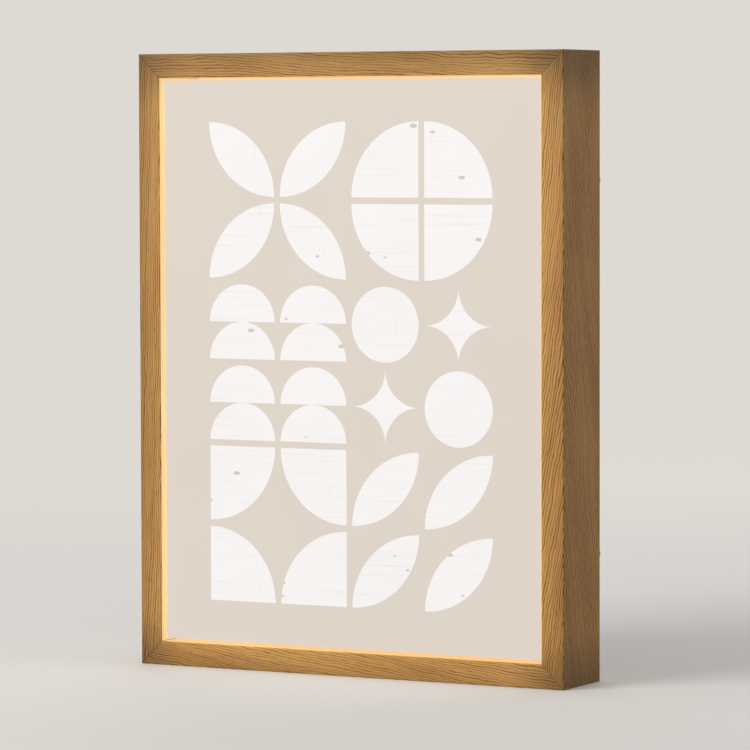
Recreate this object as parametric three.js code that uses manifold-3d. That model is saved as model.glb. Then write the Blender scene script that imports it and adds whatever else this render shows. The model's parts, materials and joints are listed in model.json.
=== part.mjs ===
// A wall-hung light box: a back-lit printed panel that floats in a deep, mitred oak frame.
// Millimetres. +X is the viewer's right, +Y points at the wall and +Z is up.
// The origin is the middle of the wall rail's rear face, so the wall is the plane Y = 0.
import * as THREE from "three";
import { mergeVertices } from "three/addons/utils/BufferGeometryUtils.js";
import Module from "manifold-3d";

// Driving dimensions: the oak frame.
const frameWidth = 338;
const frameHeight = 438;
const barFace = 17; // width of a bar seen from the front
const barDepth = 58;
const frontArris = 0.8; // planed edge along the outside of the front
const innerArris = 0.4;
const rebateWidth = 6; // the rear rebate that the back panel lies in
const mitreGap = 0.2; // glue line
const keyLength = 40; // hardwood key across each mitre
const keyWidth = 12;
const keyThickness = 3;

// The printed panel and what lies behind it.
const panelGap = 2; // the slit of light round the panel
const panelRecess = 4; // how far the panel lies behind the front of the oak
const panelThickness = 3;
const panelCorner = 1;
const diffuserThickness = 2;
const tapeThickness = 1;
const tapeWidth = 9;
const panelOverhang = 6; // how far the panel reaches past the inner frame

// The folded inner frame and the reflector board.
const trayThickness = 1.5;
const trayFlange = 11; // front flange, under the tape
const trayCorner = 3;
const cavityDepth = 28; // from the diffuser to the reflector board
const boardThickness = 1.5;
const tabWidth = 16;
const tabReach = 11;
const tabShare = 0.68; // place of a tab along the half width

// Light bars and strips.
const lightBars = 5;
const lightBarInset = 20; // from the inner frame's wall to the end of a light bar
const lightBarWidth = 14;
const lightBarThickness = 1.6;
const lenses = 5;
const lensRadius = 5.5;
const lensHeight = 3.2;
const stripWidth = 8;
const stripThickness = 0.5;
const diodeSize = 3.2;
const diodeHeight = 0.9;
const diodePitch = 26;
const stripEnd = 8; // bare length past a strip's last corner

// The back panel.
const sheetThickness = 1.2;
const sheetCorner = 2;
const backRecess = 0.3; // the sheet lies this far inside the oak's rear faces
const raisedSide = 45; // from the frame's outside to the raised middle
const raisedTop = 64;
const raisedBottom = 52;
const raisedCorner = 9;
const wallClearance = 2; // from the raised middle to the wall
const ventWidth = 3;
const ventLength = 26;
const ventPitch = 18;
const ventsPerRow = 9;
const ventInset = 24;

// Hanging rails: one section for both, which hook over each other.
const railThickness = 2.5;
const railFlange = 20;
const railLip = 10;
const railLength = 160;
const railPlay = 0.2;
const railInset = 1.5; // below the top of the frame
const wallHoleNear = 30; // from the middle to the first wall screw hole
const wallHoleFar = 65;
const wallHoleRadius = 2.3;
const wallHoleSink = 4.4;
const hookScrewPitch = 62;

// Turn buttons.
const buttonReach = 18;
const buttonRadius = 5;
const buttonThickness = 1.5;
const buttonHeight = 130; // above and below the middle of the frame
const gripRadius = 1.1;

// Screws.
const screwRadius = 1.5;
const screwLength = 12;
const screwHeadRadius = 3.4;
const screwHeadHeight = 2;
const screwTip = 2.4;
const driverScrewLength = 3; // self-tapping, through the ear into the board

// The driver, the terminal block and the leads.
const driverLength = 118;
const driverWidth = 36;
const driverHeight = 13;
const driverCorner = 3;
const driverEar = 11;
const driverEarThickness = 2;
const driverRise = 44; // from the inner frame's lower wall to the middle of the driver
const terminalLength = 32;
const terminalWidth = 18;
const terminalHeight = 12;
const terminalPoles = 4;
const terminalWell = 2.2;
const leadRadius = 1.5;
const leadHole = 4;
const leadBend = 8; // how far a lead runs on before it turns
const driverInset = 27; // from the switch's lead to the end of the driver
const terminalInset = 8; // from the driver to the terminal block

// The pocket under the bottom rail, with the switch and the inlet.
const pocketLength = 54;
const pocketWidth = 15;
const pocketDepth = 3.8;
const pocketCorner = 4;
const pocketFromRear = 11.4; // from the oak's rear face to the middle of the pocket
const pocketSide = 66; // from the frame's right side to the middle of the pocket
const switchOffset = 13; // from the middle of the pocket, each way
const bezelLength = 17;
const bezelWidth = 11;
const bezelThickness = 1.6;
const bezelCorner = 1.2;
const switchLength = 14.6;
const switchWidth = 9;
const switchDepth = 11.5;
const spadeWidth = 2.8;
const spadeThickness = 0.8;
const spadeLength = 5;
const spadeOffset = 4;
const rockerRadius = 6.2;
const rockerWidth = 6.6;
const rockerDip = 2.7; // the middle of the rocker's face above its pivot
const rockerDepth = 2.4;
const pivotDepth = 1.2; // the pivot lies this far behind the bezel's seat
const pivotRadius = 1;
const pivotLength = 0.6;
const wellDepth = 4.6;
const inletFlangeRadius = 6.4;
const inletFlangeThickness = 2;
const inletRadius = 4.9;
const inletLength = 12;
const inletBore = 2.9;
const inletBoreDepth = 9;
const inletPin = 1.05;

// Bumpers.
const bumperFoot = 5;
const bumperNose = 3.6;
const bumperInset = 24;

// Clearances.
const seatGap = 0.2; // between faces that rest on each other
const leadGap = 0.3; // between a lead's end and what it meets
const fitPlay = 0.25; // round a piece in its cut-out
const turnPlay = 0.1; // radial, round a pivot
const keyPlay = 0.2;
const overrun = 5; // how far a cutter reaches past what it cuts
const mergeStep = 1e-4;

// Angles, in degrees, and shares of the sizes that they follow.
const rockerTilt = 9;
const rockerTop = 34;
const rockerFoot = 12;
const screwHeadShares = [
  [1, 0],
  [1, 0.3],
  [0.86, 0.72],
  [0.5, 0.95],
];
const radian = Math.PI / 180;

// Facets of round shapes.
const fine = 20;
const coarse = 12;
const cornerSteps = 4;
const smallSteps = 2;

// Worked out: the stack along Y, from the wall to the front.
const railStep = railThickness + 2 * railPlay; // the slot between a rail's flange and its lip
const standOff = 4 * railThickness + 3 * railPlay;
const oakRear = -standOff;
const oakFront = oakRear - barDepth;
const sheetRear = oakRear - backRecess;
const sheetFront = sheetRear - sheetThickness;
const trayRear = sheetFront - seatGap;
const trayRearFront = trayRear - trayThickness;
const shoulder = trayRearFront - seatGap;
const panelFront = oakFront + panelRecess;
const panelRear = panelFront + panelThickness;
const diffuserFront = panelRear + seatGap;
const diffuserRear = diffuserFront + diffuserThickness;
const tapeFront = diffuserRear + seatGap;
const tapeRear = tapeFront + tapeThickness;
const trayFront = tapeRear + seatGap;
const boardFront = diffuserRear + cavityDepth;
const boardRear = boardFront + boardThickness;
const raisedRear = -wallClearance;
const gapStripY = trayFront + trayThickness + stripWidth;
const haloStripY = (sheetRear + raisedRear) / 2;
const oakMiddle = (oakFront + oakRear) / 2;

// Worked out: places along Z. The box hangs by its hook rail on the wall rail.
const wallRailTop = railFlange / 2;
const hookRailFoot = wallRailTop + railLip + railPlay;
const frameTop = hookRailFoot + railFlange + railInset;
const frameMiddle = frameTop - frameHeight / 2;

// Worked out: sizes across, from the middle of the frame.
const halfWidth = frameWidth / 2;
const halfHeight = frameHeight / 2;
const openingX = halfWidth - barFace;
const openingZ = halfHeight - barFace;
const panelX = openingX - panelGap;
const panelZ = openingZ - panelGap;
const trayX = panelX - panelOverhang;
const trayZ = panelZ - panelOverhang;
const rebateX = openingX + rebateWidth;
const rebateZ = openingZ + rebateWidth;
const sheetX = rebateX - fitPlay;
const sheetZ = rebateZ - fitPlay;
const boardX = trayX - trayThickness - fitPlay;
const boardZ = trayZ - trayThickness - fitPlay;
const raisedX = halfWidth - raisedSide;
const raisedHigh = halfHeight - raisedTop;
const raisedLow = raisedBottom - halfHeight;
const buttonX = halfWidth - (barFace - rebateWidth) / 2;
const landMiddle = halfHeight - (barFace - rebateWidth) / 2;
const pocketX = halfWidth - pocketSide;
const pocketY = oakRear - pocketFromRear;
const pocketFloor = pocketDepth - halfHeight;
const switchX = pocketX - switchOffset;
const inletX = pocketX + switchOffset;
const switchTop = pocketFloor + switchDepth;
const spadeTop = switchTop + spadeLength;
const inletTop = pocketFloor + inletLength;
const barPitch = (2 * trayZ) / (lightBars + 0.5);
const lightBarLength = 2 * (trayX - lightBarInset);
const tabX = trayX * tabShare;
const tabScrewZ = trayZ - (tabReach + trayThickness) / 2;
const leadX = switchX - spadeOffset;
const driverX = leadX - driverInset - driverLength / 2;
const driverZ = driverRise - trayZ;
const driverRight = driverX + driverLength / 2;
const driverLeft = driverX - driverLength / 2;
const driverPort = driverZ + (driverEar + driverWidth) / 4; // where its leads enter, up its ends
const terminalX = driverRight - terminalLength / 2;
const terminalZ = driverZ + driverWidth / 2 + terminalInset + terminalWidth / 2;
const ledHoleX = (driverLeft - trayX) / 2; // midway between the driver and the inner frame
const ledHoleZ = driverZ + driverWidth;
const stripPortZ = terminalZ + terminalWidth;

// Materials, by the finish that each piece has.
const finish = (color, roughness, metalness) => ({ color, roughness, metalness });
const oak = finish(0xb4884f, 0.55, 0);
const beech = finish(0xc79a66, 0.6, 0);
const printedAcrylic = finish(0xe2dace, 0.35, 0);
const opalAcrylic = finish(0xf3f0ea, 0.5, 0);
const foam = finish(0xdedad2, 0.9, 0);
const whiteCoat = finish(0xf2f1ee, 0.6, 0.1);
const circuit = finish(0xf6f6f2, 0.45, 0);
const warmLight = finish(0xffd08a, 0.4, 0);
const greyCoat = finish(0x3a3b3c, 0.65, 0.3);
const aluminium = finish(0xb9bbbd, 0.35, 1);
const zinc = finish(0xa9abad, 0.4, 1);
const brass = finish(0xc2a25e, 0.35, 1);
const blackPlastic = finish(0x1b1b1c, 0.5, 0);
const whitePlastic = finish(0xe9e8e4, 0.5, 0);
const rubber = finish(0x222222, 0.9, 0);
const sleeve = finish(0x2a2a2c, 0.7, 0);

const box = new THREE.Group(); // what hangs, about the middle of the oak frame
box.position.z = frameMiddle;
const wall = new THREE.Group(); // what stays on the wall
const lightBox = new THREE.Group();
lightBox.add(box, wall);

const wasm = await Module();
wasm.setup();

// A closed geometry as a solid for joining and cutting.
function solid(geometry) {
  const bare = geometry.clone();
  bare.deleteAttribute("normal");
  bare.deleteAttribute("uv");
  const merged = mergeVertices(bare, mergeStep);
  const corners = merged.index.array;
  const kept = [];
  for (let i = 0; i < corners.length; i += 3) {
    const [a, b, c] = corners.subarray(i, i + 3);
    if (a !== b && b !== c && c !== a) kept.push(a, b, c);
  }
  return new wasm.Manifold(
    new wasm.Mesh({
      numProp: 3,
      vertProperties: merged.attributes.position.array,
      triVerts: new Uint32Array(kept),
    }),
  );
}

// A solid as a geometry again, with flat facets.
function geometryOf(body) {
  const mesh = body.getMesh();
  const geometry = new THREE.BufferGeometry();
  const positions = new THREE.BufferAttribute(mesh.vertProperties, mesh.numProp);
  geometry.setAttribute("position", positions);
  geometry.setIndex(new THREE.BufferAttribute(mesh.triVerts, 1));
  const faceted = geometry.toNonIndexed();
  faceted.computeVertexNormals();
  return faceted;
}

// Joins or cuts closed geometries and solids.
const asSolid = (shape) => (shape.isBufferGeometry ? solid(shape) : shape);
const join = (...shapes) => shapes.map(asSolid).reduce((a, b) => a.add(b));
const cut = (body, ...tools) => tools.map(asSolid).reduce((a, b) => a.subtract(b), asSolid(body));

// Adds a named piece to a group.
function piece(group, name, shape, surface) {
  const mesh = new THREE.Mesh(geometryOf(asSolid(shape)), new THREE.MeshStandardMaterial(surface));
  mesh.name = name;
  group.add(mesh);
  return mesh;
}

// A box between two corners.
function block(x0, x1, y0, y1, z0, z1) {
  const size = new THREE.BoxGeometry(x1 - x0, y1 - y0, z1 - z0);
  return size.translate((x0 + x1) / 2, (y0 + y1) / 2, (z0 + z1) / 2);
}

// The outline of a rectangle with round corners.
function roundedRectangle(x0, x1, z0, z1, radius, Outline = THREE.Shape) {
  const outline = new Outline();
  outline.absarc(x1 - radius, z1 - radius, radius, 0, Math.PI / 2);
  outline.absarc(x0 + radius, z1 - radius, radius, Math.PI / 2, Math.PI);
  outline.absarc(x0 + radius, z0 + radius, radius, Math.PI, 1.5 * Math.PI);
  outline.absarc(x1 - radius, z0 + radius, radius, 1.5 * Math.PI, 2 * Math.PI);
  outline.closePath();
  return outline;
}

// An outline drawn in X and Z, as seen from the front, made solid between two places in Y.
function plate(outline, yFront, yRear, curveSegments = cornerSteps) {
  const options = { depth: yRear - yFront, bevelEnabled: false, curveSegments };
  return new THREE.ExtrudeGeometry(outline, options).rotateX(Math.PI / 2).translate(0, yRear, 0);
}

// A plate with round corners about the middle, and the same as a ring.
const sheet = (x, z, radius, yFront, yRear) =>
  plate(roundedRectangle(-x, x, -z, z, radius), yFront, yRear);
function ring(x, z, radius, width, yFront, yRear) {
  const outline = roundedRectangle(-x, x, -z, z, radius);
  const inner = Math.max(radius - width, sheetThickness);
  const hole = [width - x, x - width, width - z, z - width, inner];
  outline.holes.push(roundedRectangle(...hole, THREE.Path));
  return plate(outline, yFront, yRear);
}

// A section drawn in Y and Z, made a beam that runs along X about the middle.
function beam(points, length) {
  const section = new THREE.Shape(points.map(([y, z]) => new THREE.Vector2(y, z)));
  const alongX = new THREE.Matrix4().makeBasis(
    new THREE.Vector3(0, 1, 0),
    new THREE.Vector3(0, 0, 1),
    new THREE.Vector3(1, 0, 0),
  );
  return new THREE.ExtrudeGeometry(section, { depth: length, bevelEnabled: false })
    .applyMatrix4(alongX)
    .translate(-length / 2, 0, 0);
}

// A round cutter or pin along Y.
function roundAlongY(radius, x, z, yFront, yRear, facets = coarse) {
  const length = yRear - yFront;
  return new THREE.CylinderGeometry(radius, radius, length, facets).translate(
    x,
    (yFront + yRear) / 2,
    z,
  );
}

// A profile of [radius, height] pairs turned about Y.
const turned = (points, facets = fine) =>
  new THREE.LatheGeometry(
    points.map(([radius, height]) => new THREE.Vector2(radius, height)),
    facets,
  );

// A pan-head screw: its head stands on Y = 0 towards the wall, its shank points to the front.
function screwShape(length) {
  const head = screwHeadShares.map(([r, h]) => [r * screwHeadRadius, h * screwHeadHeight]);
  return turned(
    [
      [0, -length],
      [screwRadius, screwTip - length],
      [screwRadius, 0],
      ...head,
      [0, screwHeadHeight],
    ],
    coarse,
  );
}
const screwHole = (x, z, yFront, yRear, play = seatGap, facets = coarse) =>
  roundAlongY(screwRadius + play, x, z, yFront - overrun / 2, yRear + overrun / 2, facets);
function screw(group, name, x, ySeat, z, length) {
  const made = piece(group, name, screwShape(length), zinc);
  made.position.set(x, ySeat + seatGap, z);
}

// A lead of round section through points chosen by hand.
function lead(group, name, points, steps) {
  const route = new THREE.CatmullRomCurve3(points.map((p) => new THREE.Vector3(...p)));
  const circle = new THREE.Shape();
  circle.absarc(0, 0, leadRadius, 0, 2 * Math.PI);
  const options = { steps, extrudePath: route, curveSegments: cornerSteps, bevelEnabled: false };
  piece(group, name, new THREE.ExtrudeGeometry(circle, options), sleeve);
}

// The outline of a key: two arcs that meet in points.
function keyOutline(length, width) {
  const rise = width / 2;
  const radius = (length ** 2 / 4 + rise ** 2) / width;
  const half = Math.asin(length / 2 / radius);
  const outline = new THREE.Shape();
  outline.absarc(0, rise - radius, radius, Math.PI / 2 - half, Math.PI / 2 + half);
  outline.absarc(0, radius - rise, radius, 1.5 * Math.PI - half, 1.5 * Math.PI + half);
  return outline;
}

// A key across the mitre of the corner on the given sides, or the slot for it.
function mitreKey(sideX, sideZ, play) {
  const thickness = keyThickness + 2 * play;
  const outline = keyOutline(keyLength + 2 * play, keyWidth + 2 * play);
  const depth = new THREE.Vector3(0, 1, 0);
  const across = new THREE.Vector3(sideX, 0, -sideZ).normalize();
  const along = new THREE.Vector3().crossVectors(depth, across);
  return new THREE.ExtrudeGeometry(outline, {
    depth: thickness,
    bevelEnabled: false,
    curveSegments: coarse / 2,
  })
    .translate(0, 0, -thickness / 2)
    .applyMatrix4(new THREE.Matrix4().makeBasis(depth, across, along))
    .translate(sideX * (halfWidth - barFace / 2), oakMiddle, sideZ * (halfHeight - barFace / 2));
}
const corners = [
  ["top_left", -1, 1],
  ["top_right", 1, 1],
  ["bottom_left", -1, -1],
  ["bottom_right", 1, -1],
];
const keySlots = () => corners.map(([, sideX, sideZ]) => mitreKey(sideX, sideZ, keyPlay));

// One oak bar as it lies at the top: its outside at Z = 0, mitred at both ends, with the
// rebate at the inside of its rear.
function oakBar(length) {
  const rebateFoot = rebateWidth - barFace;
  const bar = beam(
    [
      [oakFront + frontArris, 0],
      [oakRear - frontArris, 0],
      [oakRear, -frontArris],
      [oakRear, rebateFoot],
      [shoulder, rebateFoot],
      [shoulder, -barFace],
      [oakFront + innerArris, -barFace],
      [oakFront, innerArris - barFace],
      [oakFront, -frontArris],
    ],
    length,
  );
  const glue = (mitreGap / 2) * Math.SQRT2;
  const outside = length / 2 + overrun - glue;
  const inside = length / 2 - barFace - overrun - glue;
  const mitred = new THREE.Shape([
    new THREE.Vector2(-inside, -barFace - overrun),
    new THREE.Vector2(inside, -barFace - overrun),
    new THREE.Vector2(outside, overrun),
    new THREE.Vector2(-outside, overrun),
  ]);
  const ends = plate(mitred, oakFront - overrun, oakRear + overrun);
  return geometryOf(solid(bar).intersect(solid(ends)));
}

// The four bars, with the slots and holes of what they hold.
function buildFrame() {
  const rail = oakBar(frameWidth);
  const stile = oakBar(frameHeight);
  const buttonHole = (sideX, sideZ) =>
    screwHole(sideX * buttonX, sideZ * buttonHeight, oakRear - screwLength, oakRear);
  const hookHoles = [-1, 0, 1].map((place) =>
    screwHole(place * hookScrewPitch, landMiddle, oakRear - screwLength, oakRear),
  );
  const top = rail.clone().translate(0, 0, halfHeight);
  piece(box, "top_rail", cut(top, ...keySlots(), ...hookHoles), oak);

  const bottom = rail.clone().rotateY(Math.PI).translate(0, 0, -halfHeight);
  const pocket = roundedRectangle(
    pocketX - pocketLength / 2,
    pocketX + pocketLength / 2,
    pocketY - pocketWidth / 2,
    pocketY + pocketWidth / 2,
    pocketCorner,
  );
  const pocketTool = new THREE.ExtrudeGeometry(pocket, {
    depth: pocketDepth + overrun,
    bevelEnabled: false,
    curveSegments: cornerSteps,
  }).translate(0, 0, -halfHeight - overrun);
  const switchTool = block(
    switchX - switchLength / 2 - fitPlay,
    switchX + switchLength / 2 + fitPlay,
    pocketY - switchWidth / 2 - fitPlay,
    pocketY + switchWidth / 2 + fitPlay,
    pocketFloor - overrun / 2,
    overrun - openingZ,
  );
  const through = openingZ - halfHeight;
  const inletTool = new THREE.CylinderGeometry(
    inletRadius + fitPlay,
    inletRadius + fitPlay,
    overrun - through,
    fine,
  )
    .rotateX(Math.PI / 2)
    .translate(inletX, pocketY, pocketFloor + (overrun - through) / 2);
  const cutBottom = cut(bottom, ...keySlots(), pocketTool, switchTool, inletTool);
  piece(box, "bottom_rail", cutBottom, oak);

  for (const [name, side] of [
    ["left_stile", -1],
    ["right_stile", 1],
  ]) {
    const placed = stile.clone().rotateY((side * Math.PI) / 2).translate(side * halfWidth, 0, 0);
    piece(box, name, cut(placed, ...keySlots(), buttonHole(side, 1), buttonHole(side, -1)), oak);
  }
  for (const [corner, sideX, sideZ] of corners)
    piece(box, "mitre_key_" + corner, mitreKey(sideX, sideZ, 0), beech);
}

// The printed panel with the diffuser and the foam tape behind it.
function buildPanel() {
  piece(
    box,
    "front_panel",
    sheet(panelX, panelZ, panelCorner, panelFront, panelRear),
    printedAcrylic,
  );
  piece(
    box,
    "diffuser_sheet",
    sheet(trayX, trayZ, trayCorner, diffuserFront, diffuserRear),
    opalAcrylic,
  );
  piece(box, "panel_tape", ring(trayX, trayZ, trayCorner, tapeWidth, tapeFront, tapeRear), foam);
}

// The folded frame that carries the panel: a front flange, the wall, a rear flange in the
// oak's rebate, and four tabs for the reflector board.
const tabPlaces = [
  [-1, 1],
  [1, 1],
  [-1, -1],
  [1, -1],
];
function buildInnerFrame() {
  const tabRear = boardFront - seatGap;
  const tabFront = tabRear - trayThickness;
  const tabs = tabPlaces.map(([sideX, sideZ]) => {
    const inner = sideZ * (trayZ - tabReach);
    const outer = sideZ * (trayZ - trayThickness / 2);
    const middle = sideX * tabX;
    return block(
      middle - tabWidth / 2,
      middle + tabWidth / 2,
      tabFront,
      tabRear,
      Math.min(inner, outer),
      Math.max(inner, outer),
    );
  });
  const folded = join(
    ring(trayX, trayZ, trayCorner, trayFlange, trayFront, trayFront + trayThickness),
    ring(trayX, trayZ, trayCorner, trayThickness, trayFront, trayRear),
    ring(
      sheetX,
      sheetZ,
      sheetCorner,
      sheetX - trayX + trayThickness,
      trayRearFront,
      trayRear,
    ),
    ...tabs,
  );
  const holes = tabPlaces.map(([sideX, sideZ]) =>
    screwHole(sideX * tabX, sideZ * tabScrewZ, tabFront, tabRear),
  );
  const supplyPort = block(
    leadX - leadHole,
    leadX + leadHole,
    pocketY - leadHole,
    pocketY + leadHole,
    -trayZ - overrun / 2,
    trayThickness + overrun / 2 - trayZ,
  );
  const stripPort = block(
    trayX - trayThickness - overrun / 2,
    trayX + overrun / 2,
    pocketY - leadHole,
    pocketY + leadHole,
    stripPortZ - leadHole,
    stripPortZ + leadHole,
  );
  piece(box, "inner_frame", cut(folded, ...holes, supplyPort, stripPort), whiteCoat);
}

// The reflector board in the inner frame, held by four screws into the tabs.
function buildBoard() {
  const holes = tabPlaces.map(([sideX, sideZ]) =>
    screwHole(sideX * tabX, sideZ * tabScrewZ, boardFront, boardRear),
  );
  const wireHole = roundAlongY(
    leadHole,
    ledHoleX,
    ledHoleZ,
    boardFront - overrun,
    boardRear + overrun,
  );
  const driverHoles = [driverLeft - driverEar / 2, driverRight + driverEar / 2].map((x) =>
    screwHole(x, driverZ, boardFront, boardRear),
  );
  const board = sheet(boardX, boardZ, trayCorner, boardFront, boardRear);
  piece(box, "reflector_board", cut(board, ...holes, ...driverHoles, wireHole), whiteCoat);
  tabPlaces.forEach(([sideX, sideZ], i) =>
    screw(
      box,
      "board_screw_" + (i + 1),
      sideX * tabX,
      boardRear,
      sideZ * tabScrewZ,
      screwLength / 2,
    ),
  );
}

// A light bar: a circuit strip with a row of domed lenses.
function buildLightBars() {
  const rear = boardFront - seatGap;
  const front = rear - lightBarThickness;
  const dome = [];
  for (let i = 0; i <= smallSteps; i++) {
    const angle = (i / smallSteps) * (Math.PI / 2);
    dome.push([lensRadius * Math.sin(angle), -lensHeight * Math.cos(angle)]);
  }
  dome.push([lensRadius, lightBarThickness / 2], [0, lightBarThickness / 2]);
  const pitch = lightBarLength / lenses;
  const strip = [
    block(-lightBarLength / 2, lightBarLength / 2, front, rear, -lightBarWidth / 2, lightBarWidth / 2),
  ];
  for (let i = 0; i < lenses; i++)
    strip.push(turned(dome, coarse).translate((i - (lenses - 1) / 2) * pitch, front, 0));
  const shape = join(...strip);
  for (let i = 0; i < lightBars; i++) {
    const made = piece(box, "led_bar_" + (i + 1), shape, circuit);
    made.position.z = (i - (lightBars - 1) / 2) * barPitch;
  }
}

// A light strip along X that shines towards +Z: a tape with a row of diodes.
function stripShape(length) {
  const parts = [
    block(-length / 2, length / 2, -stripWidth / 2, stripWidth / 2, 0, stripThickness),
  ];
  const count = Math.floor((length - diodeSize) / diodePitch);
  for (let i = 0; i <= count; i++) {
    const x = (i - count / 2) * diodePitch;
    const half = diodeSize / 2;
    parts.push(
      block(x - half, x + half, -half, half, stripThickness / 2, stripThickness + diodeHeight),
    );
  }
  return join(...parts);
}

// Four strips round a rectangle, each facing out.
function stripsRound(name, x, low, high, y) {
  const middle = (low + high) / 2;
  const across = stripShape(2 * (x - stripEnd));
  const upright = stripShape(high - low - 2 * stripEnd);
  for (const [side, shape, turn, sideX, z] of [
    ["top", across, 0, 0, high + seatGap],
    ["right", upright, Math.PI / 2, x + seatGap, middle],
    ["bottom", across, Math.PI, 0, low - seatGap],
    ["left", upright, -Math.PI / 2, -x - seatGap, middle],
  ]) {
    const made = piece(box, name + "_" + side, shape, warmLight);
    made.rotation.y = turn;
    made.position.set(sideX, y, z);
  }
}

// The back panel: a sheet in the rebate with a raised middle and two rows of vents.
function buildBackPanel() {
  const outer = roundedRectangle(-raisedX, raisedX, raisedLow, raisedHigh, raisedCorner);
  const inner = roundedRectangle(
    sheetThickness - raisedX,
    raisedX - sheetThickness,
    raisedLow + sheetThickness,
    raisedHigh - sheetThickness,
    raisedCorner - sheetThickness,
  );
  const pan = cut(
    join(
      sheet(sheetX, sheetZ, sheetCorner, sheetFront, sheetRear),
      plate(outer, sheetFront, raisedRear),
    ),
    plate(inner, sheetFront - overrun, raisedRear - sheetThickness),
  );
  const vents = [];
  for (const z of [raisedHigh - ventInset, raisedLow + ventInset])
    for (let i = 0; i < ventsPerRow; i++) {
      const x = (i - (ventsPerRow - 1) / 2) * ventPitch;
      const slot = roundedRectangle(
        x - ventWidth / 2,
        x + ventWidth / 2,
        z - ventLength / 2,
        z + ventLength / 2,
        ventWidth / 2,
      );
      vents.push(plate(slot, raisedRear - overrun / 2, raisedRear + overrun, smallSteps));
    }
  const leadPort = new THREE.CylinderGeometry(leadHole / 2, leadHole / 2, 2 * overrun, coarse)
    .rotateZ(Math.PI / 2)
    .translate(raisedX, haloStripY, terminalZ - terminalWidth / 4);
  piece(box, "back_panel", cut(pan, ...vents, leadPort), greyCoat);
}

// The turn buttons, each with its screw. At rest they point over the back panel.
function buttonShape() {
  const outline = new THREE.Shape();
  outline.absarc(0, 0, buttonRadius, Math.PI / 2, 1.5 * Math.PI);
  outline.absarc(buttonReach - buttonRadius, 0, buttonRadius, -Math.PI / 2, Math.PI / 2);
  outline.closePath();
  const gripX = buttonReach - 2 * gripRadius;
  const grip = new THREE.CylinderGeometry(gripRadius, gripRadius, buttonRadius, coarse)
    .rotateX(Math.PI / 2)
    .translate(gripX, buttonThickness, 0);
  const flat = new THREE.ExtrudeGeometry(outline, {
    depth: buttonThickness,
    bevelEnabled: false,
    curveSegments: coarse / 2,
  })
    .rotateX(Math.PI / 2)
    .translate(0, buttonThickness, 0);
  return cut(
    join(flat, grip),
    screwHole(0, 0, 0, buttonThickness, turnPlay, fine),
    block(0, buttonReach, -overrun, 0, -buttonRadius, buttonRadius),
  );
}
function buildTurnButtons() {
  const shape = buttonShape();
  for (const [corner, sideX, sideZ] of corners) {
    const made = piece(box, "turn_button_" + corner, shape, brass);
    made.rotation.y = sideX > 0 ? Math.PI : 0;
    made.position.set(sideX * buttonX, oakRear + seatGap, sideZ * buttonHeight);
    screw(
      box,
      "button_screw_" + corner,
      sideX * buttonX,
      oakRear + seatGap + buttonThickness,
      sideZ * buttonHeight,
      screwLength,
    );
  }
}

// The rail section, with its flange down on Y = 0 and its lip up and forward.
function railShape() {
  const lipRear = -railThickness - railStep;
  const lipFront = lipRear - railThickness;
  return beam(
    [
      [0, -railFlange],
      [0, 0],
      [lipRear, 0],
      [lipRear, railLip],
      [lipFront, railLip],
      [lipFront, -railThickness],
      [-railThickness, -railThickness],
      [-railThickness, -railFlange],
    ],
    railLength,
  );
}
function buildRails() {
  const screwLine = -railFlange / 2;
  const places = [-wallHoleFar, -wallHoleNear, wallHoleNear, wallHoleFar];
  const countersunk = [
    [0, -overrun - railThickness],
    [wallHoleSink + overrun, -overrun - railThickness],
    [wallHoleRadius, wallHoleRadius - wallHoleSink],
    [wallHoleRadius, overrun],
    [0, overrun],
  ];
  const holes = places.map((x) => turned(countersunk, coarse).translate(x, 0, screwLine));
  const wallRail = piece(wall, "wall_rail", cut(railShape(), ...holes), aluminium);
  wallRail.position.z = wallRailTop;

  const hookScrewZ = hookRailFoot - frameMiddle - landMiddle;
  const hookHoles = [-1, 0, 1].map((place) =>
    screwHole(place * hookScrewPitch, hookScrewZ, -railThickness, 0),
  );
  const hookRail = piece(box, "hook_rail", cut(railShape(), ...hookHoles), aluminium);
  hookRail.rotation.x = Math.PI;
  hookRail.position.set(0, oakRear + seatGap / 2, hookRailFoot - frameMiddle);
  for (const [name, place] of [
    ["left", -1],
    ["middle", 0],
    ["right", 1],
  ])
    screw(
      box,
      "hook_screw_" + name,
      place * hookScrewPitch,
      oakRear + railThickness + seatGap / 2,
      landMiddle,
      screwLength,
    );
}

// The driver and the terminal block on the rear of the reflector board.
function buildDriver() {
  const seat = boardRear + seatGap;
  const body = roundedRectangle(
    driverLeft,
    driverRight,
    driverZ - driverWidth / 2,
    driverZ + driverWidth / 2,
    driverCorner,
  );
  const ears = roundedRectangle(
    driverLeft - driverEar,
    driverRight + driverEar,
    driverZ - driverEar / 2,
    driverZ + driverEar / 2,
    driverCorner,
  );
  const earPlaces = [driverLeft - driverEar / 2, driverRight + driverEar / 2];
  const holes = earPlaces.map((x) => screwHole(x, driverZ, seat, seat + driverEarThickness));
  const housing = cut(
    join(plate(body, seat, seat + driverHeight), plate(ears, seat, seat + driverEarThickness)),
    ...holes,
  );
  piece(box, "led_driver", housing, whitePlastic);
  const earRear = seat + driverEarThickness;
  screw(box, "driver_screw_left", earPlaces[0], earRear, driverZ, driverScrewLength);
  screw(box, "driver_screw_right", earPlaces[1], earRear, driverZ, driverScrewLength);

  const left = terminalX - terminalLength / 2;
  const pitch = terminalLength / terminalPoles;
  const wells = [];
  for (let i = 0; i < terminalPoles; i++) {
    const x = left + (i + 0.5) * pitch;
    const top = seat + terminalHeight;
    wells.push(roundAlongY(terminalWell, x, terminalZ, seat + terminalHeight / 2, top + overrun));
  }
  const terminal = block(
    left,
    left + terminalLength,
    seat,
    seat + terminalHeight,
    terminalZ - terminalWidth / 2,
    terminalZ + terminalWidth / 2,
  );
  piece(box, "terminal_block", cut(terminal, ...wells), whitePlastic);
}

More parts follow.
